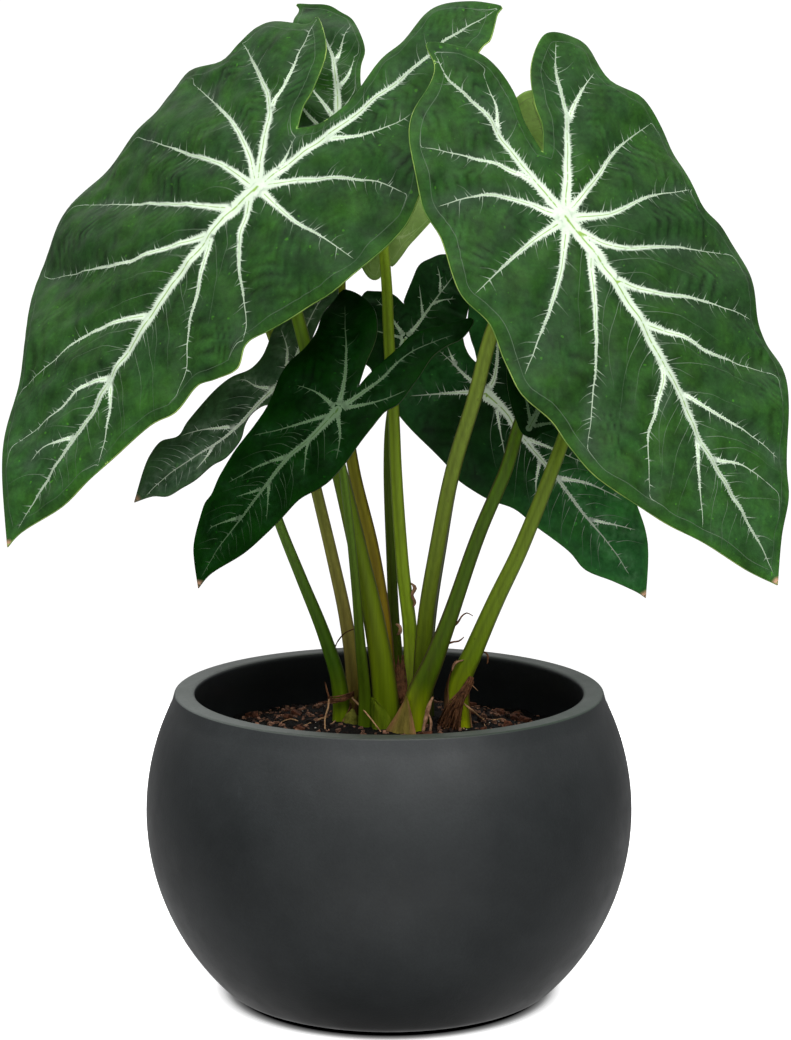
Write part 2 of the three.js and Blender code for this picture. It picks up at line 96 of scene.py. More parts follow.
# Each leaf. Places are (pixel, pixel, depth); outlines and veins are rows of pixels.
# seat, tip: where the blade meets its stalk, and its point; facing: the way its upper side looks
# droop, lobes, arch: how far the tip, the rear lobes and the sides fall, as shares of the length
# wave: how high the margin waves; root, radius: the stalk's place in the soil, and its two radii
# look: the stalk's colours at the soil, part of the way up and at the blade; how brown its edges are;
#     and how much wider than the solid its foot is on each side
# left, sinus, right: the two margins from the tip to the notch and back; stalk: places up the stalk
# veins: each one's width in pixels, then its pixels
LEAVES = [
    dict(name="front_left", tone="lit", seat=(257, 188, -30), tip=(7, 547, -52),
         facing=(-0.55, -0.72, 0.42), droop=0.1, lobes=0.24,
         arch=0.35, wave=3, root=(-1, -13), radius=(7.2, 3.1),
         look=((80, 100, 2), (90, 106, 10), (90, 118, 30), 0.5, (0.8, 0.2)),
         left=(2,479, 11,411, 25,339, 41,271, 77,198, 107,171, 132,136, 154,114, 171,93, 189,71, 221,61,
         239,43, 257,27, 275,21, 307,24, 318,17, 326,50, 313,88, 303,106), sinus=(297, 128),
         right=(320,123, 350,100, 380,60, 403,41, 425,14, 443,4, 470,1, 490,3, 502,6.5, 497,14, 493,30,
         489,41, 479,51, 455,110, 418,198, 386,246, 339,286, 307,307, 271,329, 246,343, 237,368, 214,379,
         196,386, 175,412, 150,425, 114,457, 89,479, 61,507, 21,532),
         stalk=(386,700,-13, 374,620,-15, 358,550,-18, 340,475,-21, 318,395,-23, 301,330,-24, 283,260,-22),
         veins=((12, 258,187, 221,221, 196,254, 171,286, 150,318, 132,346, 111,379, 89,418, 71,443, 46,482,
         18,529), (6, 232,209, 193,205, 154,204, 89,205), (6, 210,234, 154,252, 111,266, 55,278), (5, 150,316,
         118,321, 79,339, 54,361, 27,386), (4, 111,378, 86,384, 61,407, 18,443), (3, 75,437, 46,446, 30,462),
         (7, 252,194, 239,243, 241,282, 246,314, 243,339), (6, 212,233, 196,296, 189,329, 186,364, 179,389),
         (4, 111,380, 107,425, 98,464), (6, 260,190, 293,220, 321,236, 354,259), (7, 262,186, 314,179,
         343,178, 379,182, 404,193), (10, 259,187, 307,150, 343,125, 379,96, 429,55, 443,42, 495,10),
         (4, 325,139, 375,132, 412,114), (4, 276,174, 295,139), (9, 257,185, 264,143, 270,107, 261,79, 248,52,
         243,44), (5, 270,112, 289,75, 307,39, 315,22), (7, 256,185, 247,150, 229,118, 196,86), (7, 254,187,
         221,164, 189,154, 146,140))),
    dict(name="front_right", tone="lit", seat=(566, 218, -68), tip=(778, 585, -101),
         facing=(0.45, -0.8, 0.35), droop=0.1, lobes=0.06, arch=0.3, wave=3, root=(18, -2), radius=(5, 3.6),
         look=((32, 52, 4), (92, 110, 20), (122, 142, 54), 0.6, (0.6, 0.6)),
         left=(747,570, 705,543, 671,526, 644,509, 598,478, 571,448, 552,421, 522,394, 506,363, 491,325,
         464,298, 453,275, 441,237, 422,203, 411,149, 412,115, 430,84, 435,65, 428,42, 472,50, 495,65, 514,92,
         525,122), sinus=(543, 153),
         right=(543,126, 535,103, 531,69, 539,42, 550,32, 571,36, 589,48, 610,80, 644,99, 663,130, 678,161,
         701,203, 724,230, 747,268, 757,314, 765,341, 782,367, 789,406, 787,467, 789,497, 782,536),
         stalk=(422,690,-3, 426,620,-8, 437,550,-16, 453,470,-26, 474,400,-36, 493,330,-45, 520,275,-51),
         veins=((12, 565,217, 594,253, 617,285, 640,321, 659,356, 678,390, 698,436, 713,463, 736,501,
         774,574), (7, 574,229, 617,247, 671,247, 724,254), (6, 612,279, 655,293, 694,298, 751,320),
         (6, 641,323, 682,337, 717,356, 766,373), (4, 679,391, 709,410, 747,432, 778,459), (3, 711,460,
         743,465, 765,482), (7, 566,224, 560,275, 544,325, 525,375), (6, 590,250, 596,325, 594,383, 588,444),
         (5, 661,360, 663,379, 655,413, 648,440, 650,494), (4, 697,436, 699,478, 703,528), (7, 563,221,
         533,241, 506,264, 474,295), (7, 560,217, 525,203, 483,195, 437,207), (10, 563,214, 533,180, 506,145,
         483,111, 451,82, 436,55), (4, 498,133, 495,103, 485,80), (5, 536,184, 495,164, 424,147), (9, 566,213,
         567,168, 567,119, 558,84, 556,54, 556,42), (5, 567,121, 581,92, 594,73), (7, 568,213, 598,176,
         617,149, 650,124), (7, 570,217, 610,214, 648,197, 690,190))),
    dict(name="front_small", tone="deep_shade", seat=(338, 410, -75), tip=(198, 588, -94),
         facing=(-0.35, -0.82, 0.42), droop=0.12, lobes=0.1,
         arch=0.35, wave=2, root=(-13, -12), radius=(3, 2),
         look=((66, 88, 4), (60, 80, 10), (76, 102, 30), 0.3, (1.4, 0.4)),
         left=(194,561, 194,541, 203,507, 212,493, 221,473, 233,453, 253,427, 273,393, 282,372, 293,358,
         308,344, 317,330, 325,311, 340,292, 349,290, 363,297, 374,309, 377,324, 375,341, 365,365),
         sinus=(358, 387),
         right=(371,372, 399,347, 410,336, 426,328, 443,325, 473,318, 462,338, 446,346, 431,358, 417,379,
         400,402, 384,412, 370,429, 350,456, 333,477, 319,488, 299,499, 282,517, 265,534, 242,554, 211,573),
         stalk=(366,700,-12, 361,650,-18, 356,590,-27, 350,530,-38, 344,480,-50, 341,450,-58),
         veins=((7, 338,409, 313,436, 289,456, 265,487, 242,517, 221,544, 201,578), (4, 330,416, 316,419,
         282,429, 252,436), (4, 289,456, 258,466, 228,483), (3, 262,489, 235,497), (3, 242,517, 214,526,
         206,534), (4, 337,413, 340,436, 336,460), (3, 311,438, 306,450, 304,477), (3, 271,480, 269,487,
         267,521), (5, 339,406, 345,375, 346,341, 345,304), (4, 335,407, 316,392, 296,385), (5, 341,407,
         377,382, 411,352, 454,335), (4, 343,408, 380,401, 407,390))),
    dict(name="left_middle", tone="grey", seat=(288, 378, -20), tip=(134, 502, -34),
         facing=(-0.3, -0.8, 0.5), droop=0.1, lobes=0.1, arch=0.3, wave=2, root=(-26, 1), radius=(4.5, 2.1),
         look=((102, 122, 4), (60, 92, 14), (84, 116, 40), 0.3, (0.6, 0.6)),
         left=(143,471, 151,453, 161,441, 178,436, 187,422, 201,405, 218,387, 233,376, 250,369, 261,358,
         267,346, 275,327, 290,308, 312,292, 335,284, 337,300, 327,307, 315,330), sinus=(302, 364),
         right=(305,376, 307,390, 296,400, 280,404, 264,405, 252,413, 245,424, 240,440, 226,457, 212,465,
         196,479, 181,488, 167,496, 152,496),
         stalk=(340,690,1, 326,640,0, 302,580,-3, 280,525,-7, 262,470,-9, 262,425,-8),
         veins=((6, 286,379, 262,400, 236,428, 218,442, 196,456, 166,476, 143,499), (4, 236,427, 220,428,
         196,431, 178,437), (4, 275,388, 258,387, 245,380, 235,381), (4, 288,374, 287,361, 287,347, 281,329),
         (5, 291,373, 308,323, 325,294), (3, 214,444, 206,458, 196,470))),
    dict(name="right_middle", tone="mid", seat=(484, 394, 12), tip=(646, 598, 0),
         facing=(0.2, -0.9, 0.36), droop=0.1, lobes=0.08, arch=0.3, wave=2, root=(21, 13), radius=(4, 2.4),
         look=((50, 70, 6), (60, 84, 16), (74, 102, 30), 0.4, (0.5, 0.5)),
         left=(637,592, 613,581, 586,570, 569,551, 537,527, 515,509, 488,499, 461,482, 448,466, 421,439,
         400,416, 390,400, 397,379, 413,354, 436,335, 453,328, 462,335, 465,346, 470,356), sinus=(478, 364),
         right=(475,350, 471,338, 468,318, 475,285, 500,262, 520,290, 538,345, 558,395, 588,440, 620,475,
         639,510, 648,544),
         stalk=(426,680,13, 430,620,12, 441,550,12, 456,470,14, 470,430,16),
         veins=((9, 486,394, 506,413, 519,433, 556,477, 586,517, 607,541, 630,575), (5, 482,393, 469,392,
         438,394, 409,396), (5, 482,392, 470,380, 455,365, 438,350), (3, 456,366, 451,356, 447,345),
         (5, 486,391, 495,376, 498,340, 497,300), (4, 522,438, 553,449, 583,463), (4, 556,478, 590,484,
         622,500), (3, 496,404, 500,430, 506,462), (3, 478,397, 462,420, 456,450), (3, 540,459, 536,485,
         538,508), (3, 588,519, 615,525, 636,530))),
    dict(name="inner_dark", tone="shade", seat=(406, 338, 5), tip=(381, 409, -8),
         facing=(0.1, -0.93, 0.3), droop=0.08, lobes=0.08,
         arch=0.3, wave=1.5, root=(4, 16), radius=(3.6, 2.2),
         look=((66, 84, 8), (72, 92, 14), (80, 102, 24), 0.5, (0.6, 0.4)),
         left=(377,400, 374,385, 371,369, 362,361, 355,345, 354,320, 363,294, 374,291, 393,294),
         sinus=(404, 304),
         right=(404,300, 412,280, 419,265, 431,258, 443,254, 458,258, 468,275, 470,300, 462,328, 440,342,
         424,356, 408,374, 396,390, 387,403),
         stalk=(398,680,16, 394,620,17, 391,550,18, 388,470,18, 390,421,18, 399,370,18),
         veins=((6, 405,339, 393,372, 383,402), (4, 407,336, 418,324, 435,300, 451,279, 458,268),
         (2.5, 423,317, 421,300, 419,284), (2.5, 432,304, 443,300, 456,299), (2.5, 440,293, 440,278, 437,266),
         (4, 404,336, 390,316, 375,298), (3, 403,338, 380,332, 364,328))),
    dict(name="back_top", tone="lit", seat=(343, 165, 28), tip=(262, 300, -3),
         facing=(-0.1, -0.86, 0.5), droop=0.1, lobes=0.1, arch=0.3, wave=2.5, root=(-4, 3), radius=(4.2, 2.8),
         look=((110, 90, 18), (134, 112, 22), (120, 126, 36), 0.9, (0.6, 0.4)),
         left=(235,260, 228,215, 240,170, 262,130, 280,90, 288,50, 293,22, 299,10, 296,4, 310,4, 328,5,
         341,12, 353,20, 361,35, 365,50, 361,65, 361,86, 366,112), sinus=(362, 142),
         right=(385,125, 408,110, 404,150, 386,195, 352,238, 320,275, 290,297),
         stalk=(387,690,4, 385,630,6, 373,550,10, 354,470,14, 344,400,18, 341,320,26, 341,240,36),
         veins=((9, 342,160, 339,140, 338,112, 336,80, 333,58, 326,41, 318,26), (4, 334,62, 343,40, 347,30),
         (4, 337,88, 348,76, 354,58), (5, 338,125, 331,114, 313,90, 302,72), (5, 338,145, 316,123, 303,109,
         285,92), (3, 339,118, 345,106, 352,95), (9, 341,167, 318,205, 290,255, 266,294))),
    dict(name="back_middle", tone="lit", seat=(386, 237, 36), tip=(392, 92, 82),
         facing=(0.1, 0.88, 0.3), droop=0.12, lobes=0.1, arch=0.3, wave=2, root=(9, 7), radius=(4.2, 2.8),
         look=((178, 194, 74), (136, 164, 34), (118, 140, 38), 0.3, (0.5, 0.6)),
         left=(372,120, 360,165, 354,210, 356,248, 363,270, 372,280, 381,277), sinus=(386, 260),
         right=(392,267, 402,256, 409,246, 421,233, 440,205, 445,170, 435,130, 415,103),
         stalk=(411,690,6, 410,630,2, 403,570,-2, 396,470,-7, 394,421,-7, 389,340,-4, 387,289,3),
         veins=((7, 386,236, 388,190, 391,130, 392,100), (4, 389,236, 403,238, 419,228), (4, 389,232, 400,212,
         420,180, 434,150), (4, 384,240, 372,256, 370,272), (4, 383,234, 368,224, 358,216))),
    dict(name="right_inner", tone="deep_shade", seat=(529, 428, -36), tip=(622, 268, -34),
         facing=(0.3, -0.93, 0.12), droop=0.08, lobes=0.05,
         arch=0.35, wave=1.5, root=(10, -21), radius=(5, 3.4),
         look=((146, 158, 1), (66, 88, 8), (66, 92, 22), 0.8, (3.0, 2.4)),
         left=(570,280, 535,305, 512,340, 507,374, 510,400, 520,430), sinus=(527, 437),
         right=(536,438, 542,433, 559,427, 595,408, 622,368, 634,315),
         stalk=(418,700,-20, 434,660,-22, 448,623,-24, 479,534,-27, 506,470,-26),
         veins=((5, 530,426, 560,370, 600,300, 618,274), (3, 531,424, 524,390, 514,360), (3, 533,426, 544,424,
         562,420, 590,400))),
    dict(name="right_back", tone="lit", seat=(590, 330, 42), tip=(735, 500, 58),
         facing=(0.36, 0.88, 0.26), droop=0.1, lobes=0.1, arch=0.2, wave=2.5, root=(39, -8), radius=(6, 3.2),
         look=((136, 146, 3), (102, 126, 22), (112, 134, 44), 0.4, (0.8, 0.6)),
         left=(690,490, 640,460, 600,430, 575,395, 560,350, 545,290, 530,240, 516,190, 508,150, 507,112,
         518,96, 531,90, 548,92, 562,130, 578,210), sinus=(588, 292),
         right=(604,240, 622,205, 640,190, 668,215, 700,258, 725,300, 745,350, 755,400, 750,450),
         stalk=(458,690,-9, 474,650,-12, 496,600,-16, 520,550,-19, 552,470,-18, 571,415,-4, 580,370,14),
         veins=((9, 591,331, 630,375, 690,445, 730,494), (7, 588,328, 565,250, 548,170, 534,104), (6, 592,327,
         615,270, 638,204), (5, 600,341, 650,320, 710,300), (5, 630,375, 680,370, 738,370), (4, 665,416,
         710,418, 748,430), (5, 590,334, 588,370, 590,410), (4, 630,376, 628,410, 635,448), (3, 552,190,
         535,175, 520,160))),
    dict(name="left_back", tone="lit", seat=(222, 230, 86), tip=(75, 400, 98),
         facing=(-0.12, 0.93, 0.3), droop=0.1, lobes=0.08,
         arch=0.3, wave=2.5, root=(-20, 14), radius=(4, 2.7),
         look=((118, 98, 40), (142, 132, 62), (118, 134, 58), 0.6, (0.8, 0.4)),
         left=(45,350, 60,300, 90,255, 125,215, 150,170, 180,130, 205,105, 222,130, 226,180),
         sinus=(230, 208),
         right=(250,180, 290,165, 310,180, 300,230, 270,270, 235,310, 190,340, 140,375),
         stalk=(354,684,15, 346,620,20, 333,560,26, 317,493,36, 294,400,50, 262,310,62, 240,264,66),
         veins=((8, 221,231, 175,290, 120,350, 80,396), (6, 221,227, 215,180, 206,115), (6, 225,229, 262,200,
         302,180), (5, 218,228, 180,195, 160,165), (5, 200,257, 150,245, 100,250), (4, 160,307, 110,300,
         60,310), (5, 224,233, 250,250, 275,258), (5, 195,264, 205,290, 215,318), (4, 150,318, 155,340,
         165,352))),
]
SHEATHS = [
    dict(name="left", leaf="left_middle", turn=20, cover=250, top=0.12),
    dict(name="front", leaf="front_left", turn=200, cover=200, top=0.11),
    dict(name="right", leaf="right_back", turn=120, cover=260, top=0.2),
    dict(name="back", leaf="left_back", turn=10, cover=220, top=0.12),
]


# ---- lists and meshes ----
def grouped(flat, count=2):
    """A flat list's numbers, so many at a time."""
    return [flat[k:k + count] for k in range(0, len(flat), count)]


def unit(v):
    return v / np.linalg.norm(v)


def units(rows):
    return rows / np.linalg.norm(rows, axis=1)[:, None]


def turns(count):
    return np.linspace(0, 2 * math.pi, count, endpoint=False)


def new_object(name, data):
    made = bpy.data.objects.new(name, data)
    bpy.context.scene.collection.objects.link(made)
    return made


def make_piece(name, places, faces, materials, slots=None, smooth=True):
    """A mesh object from places in millimetres."""
    mesh = bpy.data.meshes.new(name)
    mesh.from_pydata((np.asarray(places) * MM).tolist(), [], faces)
    for material in materials:
        mesh.materials.append(material)
    if slots is not None:
        mesh.polygons.foreach_set("material_index", slots)
    mesh.polygons.foreach_set("use_smooth", [smooth] * len(mesh.polygons))
    mesh.validate()
    mesh.update()
    piece = new_object(name, mesh)
    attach(piece, "root")
    return piece


def set_values(piece, copies, **layers):
    """Numbers on a piece's points that its materials read, for each of its copies of a sheet."""
    for name, values in layers.items():
        layer = piece.data.attributes.new(name, "FLOAT", "POINT")
        layer.data.foreach_set("value", np.tile(values, copies).astype(np.float32))


def ring_faces(rings, sides, flip=False):
    """A tube between rings of points, closed by the two single points that come after them."""
    faces, last = [], (rings - 1) * sides
    for j in range(sides):
        n = (j + 1) % sides
        faces += [(k + j, k + n, k + sides + n, k + sides + j) for k in range(0, last, sides)]
        faces += [(n, j, last + sides), (last + j, last + n, last + sides + 1)]
    return [face[::-1] for face in faces] if flip else faces


def grid_faces(rows, columns):
    """The quads of a sheet whose points come row by row."""
    return [(a, a + columns, a + columns + 1, a + 1) for row in range(rows - 1)
            for a in range(row * columns, (row + 1) * columns - 1)]


def slab_faces(sheet, count):
    """A sheet of so many points, the same sheet turned over behind it, and the walls between them."""
    edges = [(p, q) for face in sheet for p, q in zip(face, face[1:] + face[:1])]
    twins = {(q, p) for p, q in edges}
    behind = [tuple(k + count for k in face[:1] + face[:0:-1]) for face in sheet]
    return sheet + behind + [(p, p + count, q + count, q) for p, q in edges if (p, q) not in twins]


def joined(shapes):
    """The points and faces of several shapes as one."""
    verts, faces = [], []
    for places, sides in shapes:
        faces += [tuple(len(verts) + k for k in side) for side in sides]
        verts += places
    return verts, faces


# ---- materials ----
def light(colour):
    """Linear light, from an sRGB colour of 0 to 255 or from a level of grey that is linear already."""
    if not isinstance(colour, tuple):
        return colour, colour, colour, 1.0
    shares = [c / 255 for c in colour]
    return (*(c / 12.92 if c <= 0.04045 else ((c + 0.055) / 1.055) ** 2.4 for c in shares), 1.0)


def scaled(colour, by):
    return tuple(np.multiply(colour, by))


class Nodes:
    """A node tree, with short ways to add the nodes that the materials and the studio share."""

    def __init__(self, owner):
        owner.use_nodes = True
        self.owner, self.tree = owner, owner.node_tree

    def put(self, socket, what):
        if isinstance(what, bpy.types.NodeSocket):
            self.tree.links.new(what, socket)
        else:
            socket.default_value = what

    def add(self, kind, output, *inputs, **settings):
        """A new node's output. Settings are the node's own, or inputs by name."""
        node = self.tree.nodes.new("ShaderNode" + kind)
        for key, value in settings.items():
            if hasattr(node, key):
                setattr(node, key, value)
            else:
                self.put(node.inputs[key.replace("_", " ")], value)
        for socket, value in zip(node.inputs, inputs):
            self.put(socket, value)
        return node.outputs[output]

    def place(self, rise=None):
        """The place on the piece, with its height scaled if wished."""
        place = self.add("TexCoord", "Object")
        return place if rise is None else self.add("Mapping", "Vector", Vector=place, Scale=(1, 1, rise))

    def noise(self, scale, detail, rough, rise=None):
        """Noise that is drawn out upward where its rise is less than 1."""
        return self.add("TexNoise", "Fac", Vector=self.place(rise), Scale=scale, Detail=detail, Roughness=rough)

    def value(self, name):
        return self.add("Attribute", "Fac", attribute_name=name)

    def ramp(self, factor, *stops):
        """Colours or grey levels by a factor; the stops are places, each with its colour after it."""
        node = self.tree.nodes.new("ShaderNodeValToRGB")
        elements = node.color_ramp.elements
        while len(elements) < len(stops) / 2:
            elements.new(0.5)
        for element, (place, colour) in zip(elements, grouped(stops)):
            element.position = place
            element.color = light(colour)
        self.put(node.inputs["Fac"], factor)
        return node.outputs["Color"]

    def mix(self, factor, a, b, blend="MIX"):
        node = self.tree.nodes.new("ShaderNodeMix")
        node.data_type, node.blend_type = "RGBA", blend
        for socket, what in ((0, factor), (6, a), (7, b)):
            self.put(node.inputs[socket], light(what) if isinstance(what, tuple) else what)
        return node.outputs[2]

    def times(self, base, by):
        return self.mix(1.0, base, by, "MULTIPLY")

    def maths(self, operation, a, b):
        return self.add("Math", 0, a, b, operation=operation)

    def product(self, a, b):
        return self.maths("MULTIPLY", a, b)

    def finish(self, base, height=None, strength=1.0, distance=0.001):
        """The material, once its shader has its colour and its bump."""
        self.put(self.shader.inputs["Base Color"], base)
        if height is not None:
            self.put(self.shader.inputs["Normal"], self.add(
                "Bump", "Normal", Height=height, Strength=strength, Distance=distance))
        return self.owner


def shader_nodes(name, roughness, specular):
    nodes = Nodes(bpy.data.materials.new(name))
    nodes.shader = nodes.tree.nodes["Principled BSDF"]
    nodes.put(nodes.shader.inputs["Roughness"], roughness)
    nodes.put(nodes.shader.inputs["Specular IOR Level"], specular)
    return nodes


def grainy(name, roughness, specular, noise, stops, bump=None, bump_noise=None):
    """A material whose colour follows one noise, raised by the same noise or by another."""
    nodes = shader_nodes(name, roughness, specular)
    grain = nodes.noise(*noise)
    base = nodes.ramp(grain, *stops)
    if bump is None:
        return nodes.finish(base)
    return nodes.finish(base, nodes.noise(*bump_noise) if bump_noise else grain, *bump)


# ---- leaf materials ----
# Lit and shaded copies of one leaf's colours, one for each leaf's light: their darkness is partly painted
# shade, where other leaves shade a leaf, and partly the leaf's own tone. Each has the colours of its furrows,
# ridges, yellower patches, the greyish sheen by its veins and the veins, then its margin's dark and light;
# its gloss; how fine the sheen's breaks are; how wide its midrib and side veins are, as shares of what the
# pixels say; and how light it is from its lobes (0) past its stalk (0.2) to its tip (1). The dark furrows and
# light ridges are painted shade and light, the sheen is a painted reflection, and the lightness along the
# leaf is painted shade and light, in part the lit leaves' paler tips.
TONES = {
    "lit": dict(furrow=(6, 22, 5), ridge=(31, 64, 26), patch=(42, 84, 15), painted_sheen=(42, 64, 42),
                vein=(214, 231, 208), margin=((108, 150, 62), (176, 206, 104)), gloss=0.13, painted_sheen_breaks=26,
                girth=(1.25, 1.08), along=(0.0, 1.12, 0.2, 1.05, 0.48, 0.95, 0.84, 1.4)),
    # deep_shade, shade and mid: the same leaf colours darkened by painted shade, most to least
    "deep_shade": dict(furrow=(1, 15, 1), ridge=(3, 29, 2), patch=(8, 46, 3), painted_sheen=(14, 44, 16),
                 vein=(80, 104, 74), margin=((10, 36, 8), (44, 62, 26)), gloss=0.02, painted_sheen_breaks=240,
                 girth=(0.95, 0.8), along=(0.2, 0.8, 1.0, 1.0)),
    "shade": dict(furrow=(5, 27, 7), ridge=(20, 54, 22), patch=(24, 62, 18), painted_sheen=(44, 76, 44),
                  vein=(196, 216, 190), margin=((18, 48, 16), (60, 84, 36)), gloss=0.06, painted_sheen_breaks=240,
                  girth=(0.9, 0.8), along=(0.0, 1.0, 1.0, 1.0)),
    "mid": dict(furrow=(6, 28, 8), ridge=(26, 66, 30), patch=(34, 80, 28), painted_sheen=(52, 86, 54),
                vein=(240, 250, 236), margin=((36, 70, 26), (90, 116, 50)), gloss=0.08, painted_sheen_breaks=240,
                girth=(1.0, 0.95),
                along=(0.0, 1.6, 0.1, 1.4, 0.17, 0.55, 0.24, 0.42, 0.44, 0.8, 0.6, 2.0, 0.88, 2.3)),
    # grey: a copy with a stronger painted sheen
    "grey": dict(furrow=(22, 42, 26), ridge=(50, 78, 52), patch=(58, 90, 50), painted_sheen=(92, 114, 92),
                 vein=(236, 246, 232), margin=((44, 66, 42), (80, 98, 64)), gloss=0.12, painted_sheen_breaks=240,
                 girth=(0.85, 0.8), along=(0.2, 1.05, 1.0, 0.8)),
}
DRY_TIP = (150, 118, 96)


def upper_material(tone):
    look = TONES[tone]
    ridge, patch = look["ridge"], look["patch"]
    nodes = shader_nodes("leaf_upper_" + tone, 0.45, look["gloss"])
    # Painted shade and light: furrows darker and ridges lighter than the leaf, following the relief
    base = nodes.ramp(nodes.value("furrow"), 0.0, look["furrow"], 0.3, scaled(ridge, 0.84), 0.5, ridge,
                      0.9, scaled(ridge, 1.16))
    blotch = nodes.ramp(nodes.noise(42, 3, 0.6), 0.42, 0, 0.68, 1)
    base = nodes.mix(nodes.product(blotch, 0.52), base, patch)
    # Painted sheen: a greyish reflection by the veins, broken up by noise
    by_vein = nodes.ramp(nodes.value("from_vein"), 0, 1, 0.6, 0)
    painted_sheen_breaks = nodes.ramp(nodes.noise(look["painted_sheen_breaks"], 3, 0.5), 0.4, 0, 0.66, 1)
    base = nodes.mix(nodes.product(by_vein, painted_sheen_breaks), base, look["painted_sheen"])
    rim = nodes.ramp(nodes.value("from_rim"), 0, 1, 0.3, 0)
    base = nodes.mix(nodes.product(rim, 0.5), base, patch)
    base = nodes.mix(nodes.ramp(nodes.value("tip"), 0.1, 0, 0.5, 1), base, DRY_TIP)
    base = nodes.times(base, nodes.ramp(nodes.noise(75, 4, 0.62), 0.28, 0.56, 0.48, 0.96, 0.74, 1.4))
    base = nodes.times(base, nodes.ramp(nodes.noise(420, 4, 0.6), 0.3, 0.78, 0.7, 1.16))
    speck = nodes.ramp(nodes.noise(330, 1, 0.4), 0.74, 0, 0.78, 1)
    base = nodes.mix(nodes.product(speck, 0.35), base, scaled(patch, 1.7))
    # Painted shade and light along the leaf, from lobes to tip, by its tone's stops
    base = nodes.times(base, nodes.ramp(nodes.value("along"), *look["along"]))
    pores = nodes.add("TexVoronoi", "Distance", Vector=nodes.place(), Scale=900)
    height = nodes.maths("ADD", nodes.noise(190, 5, 0.6), nodes.product(pores, 0.15))
    return nodes.finish(base, height, 0.3, 0.001)


def vein_material(tone):
    vein = TONES[tone]["vein"]
    nodes = shader_nodes("leaf_vein_" + tone, 0.5, 0.15)
    across = nodes.ramp(nodes.value("vein_core"), 0.0, scaled(vein, 0.93), 0.2, vein, 0.78, vein,
                        0.95, scaled(vein, (0.66, 0.77, 0.4)))
    pale = nodes.ramp(nodes.value("paleness"), 0.0, 0.0, 0.3, 0.2, 0.95, 1.0)
    base = nodes.mix(pale, TONES[tone]["ridge"], across)
    base = nodes.times(base, nodes.ramp(nodes.noise(600, 3, 0.5), 0.3, 0.92, 0.7, 1.0))
    return nodes.finish(base, nodes.noise(500, 3, 0.5), 0.2, 0.0006)


def under_material(name, gain):
    nodes = shader_nodes(name, 0.6, 0.2)
    base = nodes.ramp(nodes.noise(45, 3, 0.55), 0.3, scaled((118, 152, 70), gain),
                      0.7, scaled((152, 180, 102), gain))
    base = nodes.times(base, nodes.ramp(nodes.noise(500, 4, 0.6), 0.3, 0.86, 0.7, 1.06))
    return nodes.finish(base, nodes.noise(180, 5, 0.6), 0.3, 0.001)


def margin_material(tone):
    dark, pale = TONES[tone]["margin"]
    return grainy("leaf_margin_" + tone, 0.45, 0.4, (60, 2, 0.5), (0.4, dark, 0.62, pale))


LEAF_MATERIALS = {
    tone: [upper_material(tone), vein_material(tone), margin_material(tone)] for tone in TONES
}
UNDER_VEIN = grainy("leaf_under_vein", 0.5, 0.35, (120, 2, 0.5), (0.3, (140, 168, 96), 0.7, (162, 186, 118)),
                    (0.2, 0.0006), (400, 3, 0.5))
UNDER = [under_material("leaf_under", 1.0), UNDER_VEIN]
# A lighter copy of the underside: painted light, for the leaf whose underside faces the front
UNDER_LIT = [under_material("leaf_under_lit", 1.34), UNDER_VEIN]

# ---- leaf blades ----
RIPPLES = 7           # half waves of the margin along a leaf
RIPPLE_LAG = 1.2      # how far the waves of one side run before the other's
PIXEL = 0.53          # millimetres that one pixel of the photograph spans at the plant
RIM_STEP = 1.8        # millimetres between points of the outline
VEIN_STEP = 1.5       # the same along a vein's middle
GRID_STEP = 2.0       # the same over the tissue
MARGIN_WIDTH = 0.75
CLEARANCE = 0.6       # points of the tissue stay this far from veins and margin
LARGE_LEAF = 200      # a leaf this long has veins, quilting and furrows of full size
HUB = 7.5             # the veins meet in a disc this wide on a large leaf
RIM_VEIN_INSET = 5.4  # a faint vein runs this far inside the margin
SHORTEST = 6          # a vein that has fewer points than this is left out
SPIKES_APART = (4, 12)
TOOTHLESS = 0.42      # narrower stretches of a vein have no teeth, but for the spikes
HAIRY = 4             # veins of this width and more, in pixels, have hairs
# Faint veins: their width at the base and at the end, and how pale they are there
HAIR = (0.42, 0.12, 0.5, 0.12)
RIM_VEIN = (0.3, 0.26, 0.18, 0.12)
BEND = (0.46, 0.2, 0.55, 0.2)
TIP_REACH = 5.0       # the leaf's point is dry and brown over this length
QUILT = 1.9           # how far the tissue between the veins of a large leaf swells
QUILT_REACH = 8.0     # millimetres from a vein at which it is mostly swollen
FURROW = 5.6          # millimetres from one furrow between the veins to the next
FURROW_DEPTH = 0.3
# How fine the noise is, and how far its seed is moved, for the furrows' wander, their patches and lumps
RELIEF_NOISE = ((0.022, 0), (0.045, 7), (0.09, 13))
LUMP_HEIGHT = 1.6
EDGE_REACH = 14       # millimetres over which the materials tell how near a vein or the margin is


